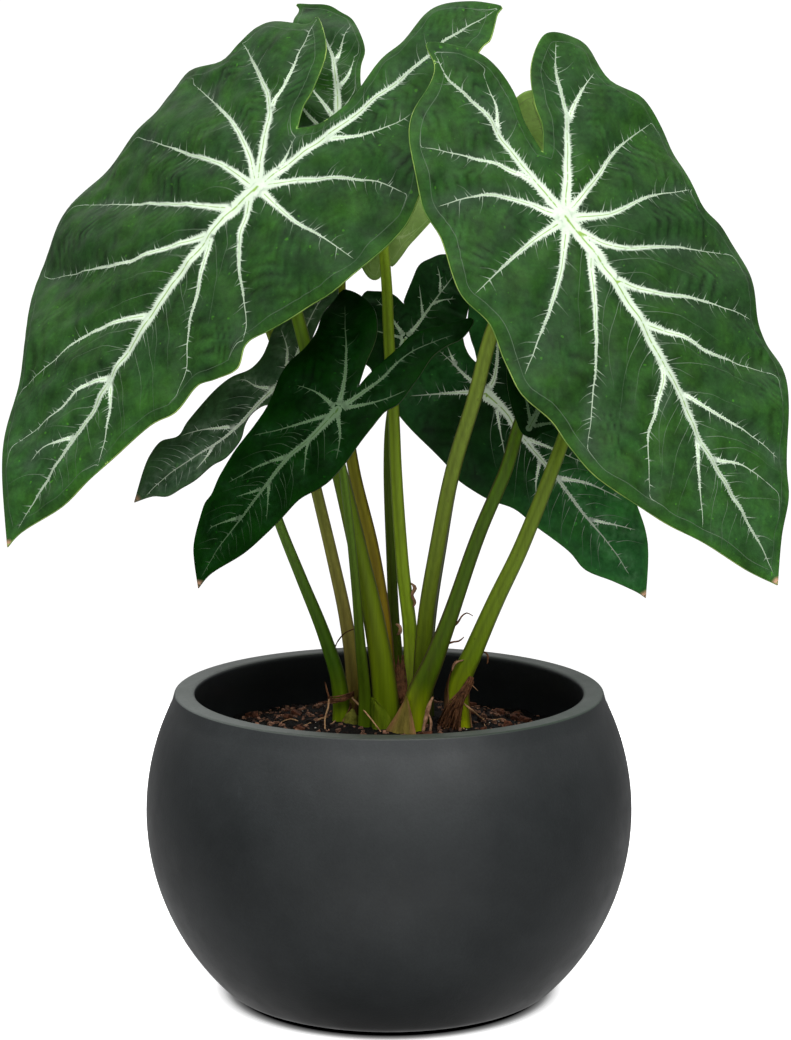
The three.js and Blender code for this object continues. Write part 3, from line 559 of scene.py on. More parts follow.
class Blade:
    """The bent sheet that a leaf's outline and veins are laid on: flat (x across, y along) to space."""

    def __init__(self, leaf):
        self.leaf = leaf
        self.seat = at_depth(*leaf["seat"])
        along = at_depth(*leaf["tip"]) - self.seat
        self.length = np.linalg.norm(along)
        self.along = along / self.length
        out = np.array(leaf["facing"], dtype=float)
        self.out = unit(out - (out @ self.along) * self.along)
        self.across = np.cross(self.along, self.out)

    def height(self, x, y):
        s, t = y / self.length, x / self.length
        leaf = self.leaf
        bend = np.where(s > 0, leaf["droop"], leaf["lobes"]) * s * s + leaf["arch"] * t * t
        lag = np.where(t > 0, RIPPLE_LAG, 0.0)
        ripple = np.sin(RIPPLES * math.pi * s + lag) * np.minimum(1, 6 * t * t)
        return leaf["wave"] * ripple - self.length * bend

    def point(self, x, y, lift=0.0):
        h = np.asarray(self.height(x, y) + lift)[..., None]
        x, y = np.asarray(x)[..., None], np.asarray(y)[..., None]
        return self.seat + x * self.across + y * self.along + h * self.out

    def on(self, pixel):
        """Where a pixel's sight line meets the sheet."""
        pixel = np.array(pixel, dtype=float)
        aim = pixel.copy()
        for _ in range(12):
            ray = sight_line(*aim)
            reach = ((self.seat - EYE) @ self.out) / (ray @ self.out)
            flat = EYE + ray * reach - self.seat
            x, y = flat @ self.across, flat @ self.along
            aim += pixel - to_pixel(self.point(x, y))
        return np.array([x, y])

    def line(self, pixels, per):
        return spline([self.on(pixel) for pixel in pixels], per)


def spline(points, per):
    """A smooth line through flat points, with this many steps between each two."""
    points = np.asarray(points)
    last = len(points) - 1
    line = []
    for i in range(last):
        p0, p1, p2, p3 = (points[min(max(k, 0), last)] for k in (i - 1, i, i + 1, i + 2))
        for t in np.arange(per) / per:
            line.append(0.5 * (2 * p1 + (p2 - p0) * t + (2 * p0 - 5 * p1 + 4 * p2 - p3) * t * t
                               + (3 * p1 - p0 - 3 * p2 + p3) * t ** 3))
    return np.array(line + [points[-1]])


def running(line):
    """How far along a line each of its points is."""
    return np.concatenate([[0], np.cumsum(np.linalg.norm(np.diff(line, axis=0), axis=1))])


def along_line(line, run, places):
    return np.stack([np.interp(places, run, axis) for axis in line.T], axis=1)


def evenly(line, step):
    """The same line with its points a step apart, and its length."""
    run = running(line)
    count = max(2, int(round(run[-1] / step)) + 1)
    return along_line(line, run, np.linspace(0, run[-1], count)), run[-1]


def nearest(points, samples):
    """For each flat point, the distance to the nearest sample, and its index."""
    tree = KDTree(len(samples))
    for k, (x, y) in enumerate(samples):
        tree.insert((x, y, 0), k)
    tree.balance()
    found = [tree.find((x, y, 0)) for x, y in points]
    return np.array([f[2] for f in found]), np.array([f[1] for f in found])


def inside(points, loop):
    """Which flat points a closed loop winds round."""
    x, y = points[:, 0], points[:, 1]
    winds = np.zeros(len(points), dtype=int)
    for (x1, y1), (x2, y2) in zip(loop, np.roll(loop, -1, axis=0)):
        if y1 != y2:
            crosses = (y1 > y) != (y2 > y)
            left = x < (x2 - x1) * (y - y1) / (y2 - y1) + x1
            winds += np.where(crosses & left, 1 if y2 > y1 else -1, 0)
    return winds != 0


def inside_any(points, loops):
    found = np.zeros(len(points), dtype=bool)
    for loop in loops:
        low, high = loop.min(axis=0), loop.max(axis=0)
        near = np.flatnonzero(((points > low) & (points < high)).all(axis=1) & ~found)
        found[near] = inside(points[near], loop)
    return found


def runs_left(loop):
    """Whether a closed loop goes counterclockwise."""
    x, y = loop[:, 0], loop[:, 1]
    return (x * np.roll(y, -1) - np.roll(x, -1) * y).sum() > 0


def left_of(ways):
    return np.stack([-ways[:, 1], ways[:, 0]], axis=1)


def inward_of(rim):
    ways = units(np.roll(rim, -1, axis=0) - np.roll(rim, 1, axis=0))
    return left_of(ways) if runs_left(rim) else -left_of(ways)


def first_stretch(line, good, sure=2):
    """A line up to its first point that isn't good; some first points are taken as good."""
    good[:sure] = True
    return line if good.all() else line[:int(np.argmin(good))]


def toothed_side(middle, normal, tangent, half, sign, rng, teeth):
    """One side of a vein: fine saw teeth, with a slender spike now and then."""
    run = VEIN_STEP * (len(middle) - 1)
    steps = np.arange(len(middle)) * VEIN_STEP

    def place(along, out, lean=0.0):
        k = min(int(along / VEIN_STEP), len(middle) - 2)
        share = along / VEIN_STEP - k
        spot = middle[k] * (1 - share) + middle[k + 1] * share
        return spot + sign * normal[k] * out + tangent[k] * lean

    side, along = [], 0.5
    spike = rng.uniform(3, 10)
    while along < run - 2.2:
        width = np.interp(along, steps, half)
        side.append(place(along, width * 0.94))
        if along > spike and along > 0.1 * run:
            reach = teeth * rng.uniform(2.0, 6.2) * min(1.0, 0.55 + 0.2 * width)
            reach *= 1.7 if rng.random() < 0.3 else 1
            side.append(place(along + 0.3, width + reach, reach * rng.uniform(0.2, 0.7)))
            side.append(place(along + 0.6, width * 0.96))
            spike = along + rng.uniform(*SPIKES_APART)
            along += 1.2
        elif width > TOOTHLESS:
            reach = teeth * rng.uniform(0.5, 2.3) * min(1.0, 0.15 + 0.36 * width)
            side.append(place(along + 0.5, width + reach, 0.7 * reach))
            along += rng.uniform(0.9, 1.7)
        else:
            along += 1.8
    return side


def vein_loop(line, base_width, tip_width, rng, spiky, teeth, skipped):
    """The outline of one vein, with its middle line, past some first points, and half widths."""
    middle, run = evenly(line, VEIN_STEP)
    tangent = units(np.gradient(middle, axis=0))
    normal = left_of(tangent)
    t = np.linspace(0, 1, len(middle))
    taper = 1.1 if base_width > 5 else 1.6
    half = 0.5 * (tip_width + (base_width - tip_width) * (1 - t) ** taper)
    if spiky:
        half *= 1 + 0.5 * np.exp(-t * run / 6)
        left, right = (toothed_side(middle, normal, tangent, half, sign, rng, teeth) for sign in (1, -1))
    else:
        left, right = ([middle[k] + sign * normal[k] * half[k] for k in range(1, len(middle) - 1)]
                       for sign in (1, -1))
    loop = [middle[0]] + left + [middle[-1]] + right[::-1]
    if base_width == tip_width:
        loop = [middle[0] + half[0] * np.array([math.cos(a), math.sin(a)]) for a in turns(24)]
    return np.array(loop), middle[skipped:], half[skipped:]


def leaving(middle, place, side):
    """A place on a line, the way ahead there, and the way to one side."""
    k = min(int(place), len(middle) - 2)
    ahead = unit(middle[k + 1] - middle[k])
    return middle[k], ahead, np.array([-ahead[1], ahead[0]]) * side


def hair_lines(line, rng, size):
    """Faint fine veins that leave a vein and run outward and forward."""
    middle, run = evenly(line, 1.0)
    place = rng.uniform(4, 9)
    side = rng.choice((-1, 1))
    while place < run * 0.9:
        root, ahead, normal = leaving(middle, place, side)
        reach = size * rng.uniform(0.5, 1.3)
        lean = rng.uniform(0.3, 0.8)
        start = unit(ahead * lean + normal)
        end = unit(ahead * (lean + rng.uniform(-0.3, 0.9)) + normal)
        yield spline([root, root + start * reach * 0.5, root + (start + end) * reach * 0.5], 4)
        place += rng.uniform(3.5, 10)
        side = -side if rng.random() < 0.7 else side


def long_hairs(midrib, strong, rng, size):
    """Faint long veins between the side veins, from the midrib toward the margin."""
    middle, run = evenly(midrib, 1.0)
    for side in (1, -1):
        place = rng.uniform(6, 14)
        while place < run * 0.85:
            root, ahead, normal = leaving(middle, place, side)
            reach = rng.uniform(0.16, 0.3) * run
            first = unit(ahead * rng.uniform(0.5, 0.8) + normal)
            later = unit(ahead * rng.uniform(0.9, 1.6) + normal)
            line = spline([root + first * 4, root + first * reach * 0.5,
                           root + (first + later) * reach * 0.5], 8)
            yield first_stretch(line, nearest(line, strong)[0] > 2.5, 3)
            place += rng.uniform(7, 15) * size


def rim_vein(rim, depth):
    """A line that follows the margin at some depth, where the leaf is wide enough for it."""
    line = rim + inward_of(rim) * depth
    line = line[(nearest(line, rim)[0] > 0.93 * depth) & inside(line, rim)]
    jumps = np.flatnonzero(np.linalg.norm(np.diff(line, axis=0), axis=1) > 12)
    line = max(np.split(line, jumps + 1), key=len)
    return line + np.array([[0.9 * mnoise.noise((x * 0.05, y * 0.05, k)) for k in (1, 2)] for x, y in line])


def vein_bends(ends, by_rim):
    """Fine curves from the side veins' ends into the vein along the margin."""
    for end, ahead in ends:
        gaps = np.linalg.norm(by_rim - end, axis=1)
        near = int(np.argmin(gaps))
        if not 1.5 < gaps[near] < 16:
            continue
        low, high = max(near - 4, 0), min(near + 4, len(by_rim) - 1)
        way = 1 if (by_rim[high] - by_rim[low]) @ ahead > 0 else -1
        reach = near + way * int(5 + gaps[near] / 1.5)
        if 0 < reach < len(by_rim) - 1:
            turn = by_rim[near + way * int(2 + gaps[near] / 3)]
            yield spline([end - ahead * 0.5, end + ahead * gaps[near] * 0.45, 0.35 * end + 0.65 * turn
                          + ahead * gaps[near] * 0.2, by_rim[reach]], 8)


def leaf_veins(leaf, blade, rim, inset, size, rng):
    """Every vein of a leaf as (outline, middle line, half widths, paleness along it)."""
    lines = [(np.array([(0, 0), (0, 0.9), (0, 1.8)]), HUB * size, HUB * size, 1, 1, False)]

    def add_faint(some, *looks):
        for line in some:
            line = first_stretch(line, inside(line, inset))
            if len(line) >= SHORTEST:
                lines.append((line, *looks, False))

    for width, *pixels in leaf["veins"]:
        line = blade.line(grouped(pixels), 6)
        line = first_stretch(line, inside(line, inset))
        if len(line) < SHORTEST:
            continue
        girth = TONES[leaf["tone"]]["girth"][min(len(lines) - 1, 1)]
        lines.append((line, girth * width * PIXEL, 0.3, 1.0, 0.55, True))
        if width >= HAIRY:
            add_faint(hair_lines(line, rng, 2.6 + width), *HAIR)
    midrib = lines[1][0]
    sides = [line[0] for line in lines[2:] if line[5]]
    strong = np.concatenate([evenly(line, 1.5)[0] for line in sides])
    is_lit = leaf["tone"] == "lit"
    add_faint(long_hairs(midrib, strong, rng, size ** 1.5), 0.34, 0.12, 0.3 if is_lit else 0.5, 0.1)
    by_rim = rim_vein(rim, min(RIM_VEIN_INSET, 0.03 * blade.length))
    if len(by_rim) > 8 and is_lit:
        lines.append((by_rim, *RIM_VEIN, False))
        add_faint(vein_bends([(line[-1], unit(line[-1] - line[-4])) for line in sides], by_rim), *BEND)
    veins = []
    for line, base, end, pale, pale_end, spiky in lines:
        skipped = 3 if spiky and line is not midrib else 0
        loop, middle, half = vein_loop(line, base, end, rng, spiky, 0.35 + 0.65 * size, skipped)
        veins.append((loop, middle, half, np.linspace(pale, pale_end, len(middle))))
    return veins


def leaf_rim(leaf, blade):
    tip, sinus = leaf["tip"][:2], leaf["sinus"]
    rim = np.concatenate([blade.line([tip, *grouped(leaf["left"]), sinus], 5)[:-1],
                          blade.line([sinus, *grouped(leaf["right"]), tip], 5)[:-1]])
    return evenly(np.concatenate([rim, rim[:1]]), RIM_STEP)[0][:-1]


def stacked(veins, part):
    return np.concatenate([vein[part] for vein in veins])


def leaf_grid(rim, inset, veins):
    """Points for the tissue, in rows that are offset from each other."""
    low, high = rim.min(axis=0), rim.max(axis=0)
    rows = np.arange(low[1], high[1], GRID_STEP * 0.87)
    grid = np.array([(x + (GRID_STEP / 2 if r % 2 else 0), y) for r, y in enumerate(rows)
                     for x in np.arange(low[0], high[0], GRID_STEP)])
    grid = grid[inside(grid, inset)]
    gap, index = nearest(grid, stacked(veins, 1))
    grid = grid[gap > stacked(veins, 2)[index] + CLEARANCE]
    return grid[nearest(grid, rim)[0] > MARGIN_WIDTH + CLEARANCE]


def leaf_sheet(rim, inset, veins):
    """The flat triangles of a leaf, and which of them lie in a vein."""
    points, edges = list(map(tuple, rim if runs_left(rim) else rim[::-1])), []
    whole = list(range(len(rim)))
    for line, closed in ([(inset, 1)] + [(vein[0], 1) for vein in veins] + [(vein[1], 0) for vein in veins]):
        start, count = len(points), len(line)
        points += list(map(tuple, line))
        edges += [(start + k, start + (k + 1) % count) for k in range(count if closed else count - 1)]
    points += list(map(tuple, leaf_grid(rim, inset, veins)))
    made = delaunay_2d_cdt([Vector(p) for p in points], edges, [whole], 1, 1e-4, True)
    places = np.array([tuple(p) for p in made[0]])
    triangles = np.array(made[2])
    triangles = triangles[inside(places[triangles].mean(axis=1), rim)]
    in_vein = inside_any(places[triangles].mean(axis=1), [vein[0] for vein in veins])
    used, triangles = np.unique(triangles, return_inverse=True)
    places, triangles = places[used], triangles.reshape(-1, 3)
    a, b, c = (places[triangles[:, k]] for k in range(3))
    turn = (b[:, 0] - a[:, 0]) * (c[:, 1] - a[:, 1]) - (b[:, 1] - a[:, 1]) * (c[:, 0] - a[:, 0])
    triangles[turn < 0] = triangles[turn < 0][:, ::-1]
    return places, triangles, in_vein


def leaf_relief(flat, gap, to_rim, midrib, size, seed):
    """Height of the tissue over the sheet, and how high each place stands on its furrow (0 to 1)."""
    away, _ = nearest(flat, midrib)
    swell = QUILT * size * (1 - np.exp(-((gap / (QUILT_REACH * (0.5 + 0.5 * size))) ** 2)))
    edge = np.clip(to_rim / 6, 0, 1)
    wander, patch, lumps = (np.array([mnoise.noise((x * scale, y * scale, seed + off)) for x, y in flat])
                            for scale, off in RELIEF_NOISE)
    bowed = away - 0.85 * gap * gap / (gap + 6)
    wave = np.sin(2 * math.pi * bowed / (FURROW * (0.6 + 0.4 * size)) + 4.5 * wander)
    wave = 2 * (0.5 + 0.5 * wave) ** 0.7 - 1.1
    outer = np.clip((away / size - 8) / 40, 0.35, 1)
    strength = (np.clip(gap / 6, 0, 1) * np.clip(to_rim / 4, 0, 1) * outer
                * np.clip(0.4 + 1.7 * patch, 0.08, 0.85))
    height = (swell + LUMP_HEIGHT * size * lumps) * edge + FURROW_DEPTH * size * wave * strength
    return height, 0.5 + 0.5 * wave * strength


def vein_values(flat, veins):
    """Distance to the nearest vein, with its half width and paleness there."""
    gap, index = nearest(flat, stacked(veins, 1))
    return gap, stacked(veins, 2)[index], stacked(veins, 3)[index]


def make_blade(leaf):
    rng = random.Random(leaf["name"])
    blade = Blade(leaf)
    size = min(1.0, blade.length / LARGE_LEAF)
    rim = leaf_rim(leaf, blade)
    inset = rim + inward_of(rim) * MARGIN_WIDTH
    veins = leaf_veins(leaf, blade, rim, inset, size, rng)
    flat, triangles, in_vein = leaf_sheet(rim, inset, veins)

    strong, half, pale = vein_values(flat, [vein for vein in veins if vein[2][0] > 0.5])
    faint, faint_half, faint_pale = vein_values(flat, [vein for vein in veins if vein[2][0] <= 0.5])
    in_faint = faint - faint_half < strong - half
    pale = np.where(in_faint, faint_pale, pale * (1 - 0.6 * np.clip((strong - half) / 4, 0, 1)))
    core = np.clip(1 - strong / half, 0, 1)
    to_rim, _ = nearest(flat, rim)
    height, furrow = leaf_relief(flat, strong, to_rim, veins[1][1], size, 3.0 * len(leaf["name"]))
    ridge = 0.3 * half * np.sqrt(core)
    top = blade.point(flat[:, 0], flat[:, 1], height + 0.3 * ridge)
    bottom = blade.point(flat[:, 0], flat[:, 1], height - BLADE_THICKNESS - 1.4 * ridge)

    faces = slab_faces([tuple(triangle) for triangle in triangles.tolist()], len(flat))
    near_rim, _ = nearest(flat[triangles].mean(axis=1), rim)
    slots = np.full(len(faces), 2, dtype=np.int32)
    slots[:len(triangles)] = np.where(in_vein, 1, np.where(near_rim < MARGIN_WIDTH * 0.8, 2, 0))
    slots[len(triangles):2 * len(triangles)] = np.where(in_vein, 4, 3)
    # right_back's underside takes the lighter copy, with its painted light
    under = UNDER_LIT if leaf["name"] == "right_back" else UNDER
    piece = make_piece("leaf_" + leaf["name"], np.concatenate([top, bottom]), faces,
                       LEAF_MATERIALS[leaf["tone"]] + under, slots)
    to_tip = np.linalg.norm(flat - rim[0], axis=1)
    set_values(piece, 2, from_vein=np.clip(strong / EDGE_REACH, 0, 1),
               from_rim=np.clip(to_rim / EDGE_REACH, 0, 1), vein_core=core, paleness=pale, furrow=furrow,
               along=np.clip((flat[:, 1] / blade.length + 0.25) / 1.25, 0, 1),
               tip=np.clip(1 - to_tip / TIP_REACH, 0, 1))
    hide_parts("blade_" + leaf["name"])
    return blade


# ---- stalks ----
STALK_SIDES = 28
STALK_RINGS = 110
STALK_STEPS = 30        # points between two of the places that a stalk is given by
KNEE = 16.0             # the stalk meets the blade squarely over this length
RIBS, RIB_DEPTH = 9, 0.02
GROOVE_ANGLE, GROOVE_WIDTH, GROOVE_DEPTH = 4.3, 0.25, 0.05
FLARE, FLARE_REACH = 0.5, 3.0
WOBBLE = 0.25           # how uneven the foot is, in millimetres; the stalk above is a quarter of that
FOOT_HEIGHT = 16.0      # the foot is at its widest up to this height,
FOOT_SPREAD = 42.0      # and narrows to the plain stalk over about this much more
EDGE_BROWN = (66, 42, 34)
STREAKED = 0.04         # how far streaks are drawn out up the stalk, as a scale of their height


def stalk_line(leaf, blade):
    """The stalk's middle line, from its root to the blade, as places a small step apart."""
    points = [np.array([*leaf["root"], ROOT_Z])] + [at_depth(*p) for p in grouped(leaf["stalk"], 3)]
    points += [blade.seat - blade.out * (BLADE_THICKNESS + short) for short in (KNEE, SEAT_GAP)]
    ends = [2 * points[0] - points[1]] + points + [2 * points[-1] - points[-2]]
    line = []
    for p0, p1, p2, p3 in zip(ends, ends[1:], ends[2:], ends[3:]):
        d0, d1, d2 = (max(np.linalg.norm(q - p) ** 0.5, 1e-4) for p, q in ((p0, p1), (p1, p2), (p2, p3)))
        m1 = ((p1 - p0) / d0 - (p2 - p0) / (d0 + d1) + (p2 - p1) / d1) * d1
        m2 = ((p2 - p1) / d1 - (p3 - p1) / (d1 + d2) + (p3 - p2) / d2) * d1
        for t in np.arange(STALK_STEPS) / STALK_STEPS:
            line.append((2 * t ** 3 - 3 * t * t + 1) * p1 + (t ** 3 - 2 * t * t + t) * m1
                        + (3 * t * t - 2 * t ** 3) * p2 + (t ** 3 - t * t) * m2)
    return np.array(line + [points[-1]])


def stalk_frames(line, places):
    """Middle, side and front of the stalk at each of these shares of its length, and its length."""
    run = running(line)
    middle, after, before = (along_line(line, run, np.clip(places + step, 0, 1) * run[-1])
                             for step in (0, 0.004, -0.004))
    ahead = units(after - before)
    side = units(np.cross(np.array([0, 1.0, 0]), ahead))
    return middle, side, np.cross(ahead, side), run[-1]


def stalk_radius(leaf, t):
    foot, top = leaf["radius"]
    return top + (foot - top) * (1 - t) ** 1.8


def stalk_material(leaf):
    foot, middle, top, brown, _ = leaf["look"]
    nodes = shader_nodes("petiole_" + leaf["name"], 0.4, 0.1)
    base = nodes.ramp(nodes.value("climb"), 0.04, foot, 0.22, middle, 0.6, top, 0.96, scaled(top, 1.25))
    # Across the stalk: partly its own stripes, partly painted light on its left edge and painted shade on its
    # right
    across = nodes.ramp(nodes.value("lateral"), 0, 1.3, 0.2, 1.15, 0.38, 0.8, 0.52, 0.96, 0.74, 1.22, 1, 0.85)
    edges = nodes.ramp(nodes.value("lateral"), 0, 1, 0.14, 0, 0.84, 0, 1, 1)
    streak = nodes.ramp(nodes.noise(300, 4, 0.6, STREAKED), 0.44, 0, 0.68, 1)
    stain = nodes.maths("MAXIMUM", nodes.product(streak, 0.24 * brown), nodes.product(edges, brown))
    base = nodes.mix(stain, nodes.times(base, across), EDGE_BROWN)
    base = nodes.times(base, nodes.ramp(nodes.noise(900, 3, 0.6, STREAKED), 0.3, 0.87, 0.7, 1.12))
    spots = nodes.ramp(nodes.noise(160, 3, 0.7), 0.66, 0, 0.74, 1)
    base = nodes.mix(nodes.product(spots, 0.4), base, EDGE_BROWN)
    return nodes.finish(base, nodes.noise(500, 3, 0.5, STREAKED), 0.3, 0.0008)


def make_stalk(leaf, blade):
    """A ribbed stalk with one groove, wider at its foot and flared at its head."""
    places = 1 - (1 - np.linspace(0, 1, STALK_RINGS)) ** 1.3
    middle, side, front, length = stalk_frames(stalk_line(leaf, blade), places)
    angles = turns(STALK_SIDES)
    groove = GROOVE_DEPTH * np.exp(-((angles - GROOVE_ANGLE) / GROOVE_WIDTH) ** 2)
    ribs = 1 + RIB_DEPTH * np.cos(RIBS * angles + leaf["root"][0]) - groove
    flare = FLARE * np.exp(-(1 - places) * length / FLARE_REACH)
    radius = (stalk_radius(leaf, places) + flare)[:, None] * ribs[None, :]
    low = np.exp(-((places * length - FOOT_HEIGHT).clip(0) / FOOT_SPREAD) ** 2)[:, None]
    left, right = leaf["look"][4]
    wing = np.where(np.cos(angles) < 0, left, right)[None, :] * low
    wobble = np.array([[WOBBLE * mnoise.noise((5 * math.cos(a) + leaf["root"][1], 5 * math.sin(a), 9 * t))
                        for a in angles] for t in places]) * (0.25 + low)
    rings = (middle[:, None, :] + side[:, None, :] * ((radius + wing + wobble) * np.cos(angles))[..., None]
             + front[:, None, :] * ((radius + 0.4 * wing + wobble) * np.sin(angles))[..., None])
    cap = middle[-1] + blade.out * (SEAT_GAP + 0.3 * BLADE_THICKNESS)
    verts = np.concatenate([rings.reshape(-1, 3), [middle[0]], [cap]])
    piece = make_piece("petiole_" + leaf["name"], verts, ring_faces(STALK_RINGS, STALK_SIDES),
                       [stalk_material(leaf)])
    set_values(piece, 1, climb=[*np.repeat(places, STALK_SIDES), 0, 1],
               lateral=[*np.tile(0.5 + 0.5 * np.cos(angles), STALK_RINGS), 0.5, 0.5])
    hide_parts("stalk_" + leaf["name"])


# ---- dry sheaths ----
SHEATH_GAP = 0.85
SHEATH_THICKNESS = 0.9
SHEATH_BOTTOM = 0.045     # as a share of the stalk's length
SHEATH_TEARS = (0.78, 1.0)
SHEATH_NARROWS = 0.75     # the share of its reach round the stalk that it loses by its top
SHEATH_ROWS = 16
SHEATH_COLUMNS = 22


def sheath_material(name, *colours):
    stops = [part for stop in zip((0.3, 0.5, 0.72), colours) for part in stop]
    return grainy(name, 0.85, 0.1, (260, 5, 0.7, 0.08), stops, (0.7, 0.0015))


DRY_SHEATH = sheath_material("dry_sheath", (44, 28, 16), (92, 64, 38), (150, 116, 80))
GREEN_SHEATH = sheath_material("green_sheath", (58, 74, 4), (80, 98, 6), (100, 112, 22))


def make_sheath(spec, blades):
    """A papery wrap with a torn top edge that narrows as it climbs."""
    rng = random.Random(spec["name"] + "sheath")
    leaf = next(one for one in LEAVES if one["name"] == spec["leaf"])
    line = stalk_line(leaf, blades[spec["leaf"]])
    half = math.radians(spec["cover"] / 2)
    outer, inner = [], []
    tears = [rng.uniform(*SHEATH_TEARS) for _ in range(SHEATH_COLUMNS)]
    for column, tear in enumerate(tears):
        share = column / (SHEATH_COLUMNS - 1) * 2 - 1
        for climb in np.linspace(0, 1, SHEATH_ROWS) * tear:
            place = np.array([SHEATH_BOTTOM + (spec["top"] - SHEATH_BOTTOM) * climb])
            middle, side, front, _ = stalk_frames(line, place)
            angle = math.radians(spec["turn"]) + share * half * (1 - SHEATH_NARROWS * climb * climb)
            wrinkle = 0.25 * math.sin(9 * share + 5 * climb)
            for shell, extra in ((inner, 0.0), (outer, SHEATH_THICKNESS)):
                r = stalk_radius(leaf, place[0]) + SHEATH_GAP + extra * (1 - 0.6 * climb) + wrinkle
                shell.append(middle[0] + r * (math.cos(angle) * side[0] + math.sin(angle) * front[0]))
    piece = make_piece("wrap_" + spec["name"], outer + inner,
                       slab_faces(grid_faces(SHEATH_COLUMNS, SHEATH_ROWS), len(outer)),
                       [GREEN_SHEATH if spec["name"] == "front" else DRY_SHEATH])
    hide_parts("sheath_" + spec["name"])


# ---- pot ----
POT_SIDES = 200
FOOT_CURVE_Z = 4.8        # the outside is rounded off below this height
RIM_BEVEL = 3.5
RIM_EDGE = 1.2


def bowl_arc(radius, from_z, to_z, count):
    low, high = (math.asin((z - POT_CENTRE_Z) / radius) for z in (from_z, to_z))
    return [(radius * math.cos(a), POT_CENTRE_Z + radius * math.sin(a))
            for a in np.linspace(low, high, count + 1)]


def round_corner(before, corner, after, size, count=5):
    """Points of an arc that rounds a corner of a profile."""
    before, corner, after = map(np.array, (before, corner, after))
    start = corner + unit(before - corner) * size
    end = corner + unit(after - corner) * size
    return [tuple((1 - t) ** 2 * start + 2 * t * (1 - t) * corner + t * t * end)
            for t in np.linspace(0, 1, count)]


def turned(profile, sides):
    """Rings of points from a profile of radii and heights."""
    return [(r * math.cos(a), r * math.sin(a), z) for r, z in profile for a in turns(sides)]


def pot_material():
    nodes = shader_nodes("pot_charcoal", 0.4, 0.27)
    base = nodes.ramp(nodes.noise(22, 4, 0.6), 0.3, (35, 38, 39), 0.7, (46, 49, 50))
    across, rise = (nodes.add("SeparateXYZ", axis, nodes.place()) for axis in "XZ")
    # Painted reflection: the rim's top is lighter than the bowl, most at its left
    on_rim = nodes.maths("GREATER_THAN", rise, (POT_HEIGHT - 0.8) * MM)
    painted_rim_reflection = nodes.ramp(nodes.maths("ADD", across, 0.5), 0.39, (88, 94, 91), 0.48, (54, 59, 54),
                       0.52, (54, 59, 54), 0.61, (47, 60, 52))
    base = nodes.mix(on_rim, base, painted_rim_reflection)
    # Painted shade: inside the well, above the bowl's middle height, the colour is made nearly black
    from_axis = nodes.add("VectorMath", "Value", nodes.place(0.0), operation="LENGTH")
    well = nodes.product(nodes.maths("LESS_THAN", from_axis, (POT_RIM_RADIUS - POT_WALL + 0.5) * MM),
                         nodes.maths("GREATER_THAN", rise, POT_CENTRE_Z * MM))
    base = nodes.mix(nodes.product(well, 0.97), base, (2, 2, 2))
    # Painted shade and light by height: darkest at the foot, lightest about 50 mm up, a little darker near 85
    # mm
    base = nodes.times(base, nodes.ramp(rise, 0.0, 0.2, 0.006, 0.5, 0.014, 0.76, 0.03, 1.06, 0.05, 1.2,
                                        0.085, 0.9, 0.12, 1.0))
    base = nodes.times(base, nodes.ramp(nodes.noise(700, 2, 0.5), 0.35, 0.92, 0.75, 1.07))
    scratch = nodes.ramp(nodes.noise(95, 5, 0.75, 0.5), 0.62, 1.0, 0.72, 1.4)
    base = nodes.mix(0.5, base, nodes.times(base, scratch))
    rough = nodes.ramp(nodes.noise(60, 3, 0.6), 0.3, 0.33, 0.7, 0.43)
    nodes.put(nodes.shader.inputs["Roughness"], rough)
    return nodes.finish(base, nodes.noise(900, 3, 0.5), 0.12, 0.0005)


def make_pot():
    outside = bowl_arc(POT_RADIUS, FOOT_CURVE_Z, POT_HEIGHT - 6, 42)
    well = bowl_arc(POT_RADIUS - POT_WALL, POT_FLOOR + 5, POT_HEIGHT - 12, 30)[::-1]
    edge_r, edge_z = outside[0]
    foot = (edge_r - edge_z * (POT_CENTRE_Z - edge_z) / edge_r, 0)
    rim_out, rim_in = (POT_RIM_RADIUS, POT_HEIGHT), (POT_RIM_RADIUS - POT_WALL, POT_HEIGHT)
    profile = [(POT_BASE_RADIUS * 0.5, 0)]
    profile += round_corner((0, 0), foot, outside[0], math.hypot(edge_r - foot[0], edge_z), 8)[:-1]
    profile += outside
    profile += round_corner(outside[-1], rim_out, rim_in, RIM_EDGE)
    profile += round_corner(rim_out, rim_in, well[0], RIM_BEVEL, 8)
    profile += well + [(well[-1][0] - 4, POT_FLOOR)]
    verts = turned(profile, POT_SIDES) + [(0, 0, 0), (0, 0, POT_FLOOR)]
    piece = make_piece("bowl", verts, ring_faces(len(profile), POT_SIDES), [pot_material()])
    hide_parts("pot")


# ---- soil ----
SOIL_RINGS = 90
SOIL_SPOKES = 260
SOIL_PROFILE_R = [0, SOIL_CROWN_RADIUS / 2, SOIL_CROWN_RADIUS, 1.3 * SOIL_CROWN_RADIUS,
                  1.6 * SOIL_CROWN_RADIUS, POT_RADIUS]
SOIL_PROFILE_Z = [SOIL_CROWN_Z + 2, SOIL_CROWN_Z + 1.5, SOIL_CROWN_Z - 1, SOIL_EDGE_Z + 7,
                  SOIL_EDGE_Z + 2, SOIL_EDGE_Z - 2]
SOIL_LUMPS = ((1.6, 0.06, 1.0), (1.1, 0.2, 5.0), (0.6, 0.6, 9.0))    # height, fineness, seed
SOIL_BASE_Z = POT_FLOOR + 0.5


def soil_height(x, y):
    base = np.interp(math.hypot(x, y), SOIL_PROFILE_R, SOIL_PROFILE_Z)
    return base + sum(high * mnoise.noise((x * fine, y * fine, seed)) for high, fine, seed in SOIL_LUMPS)


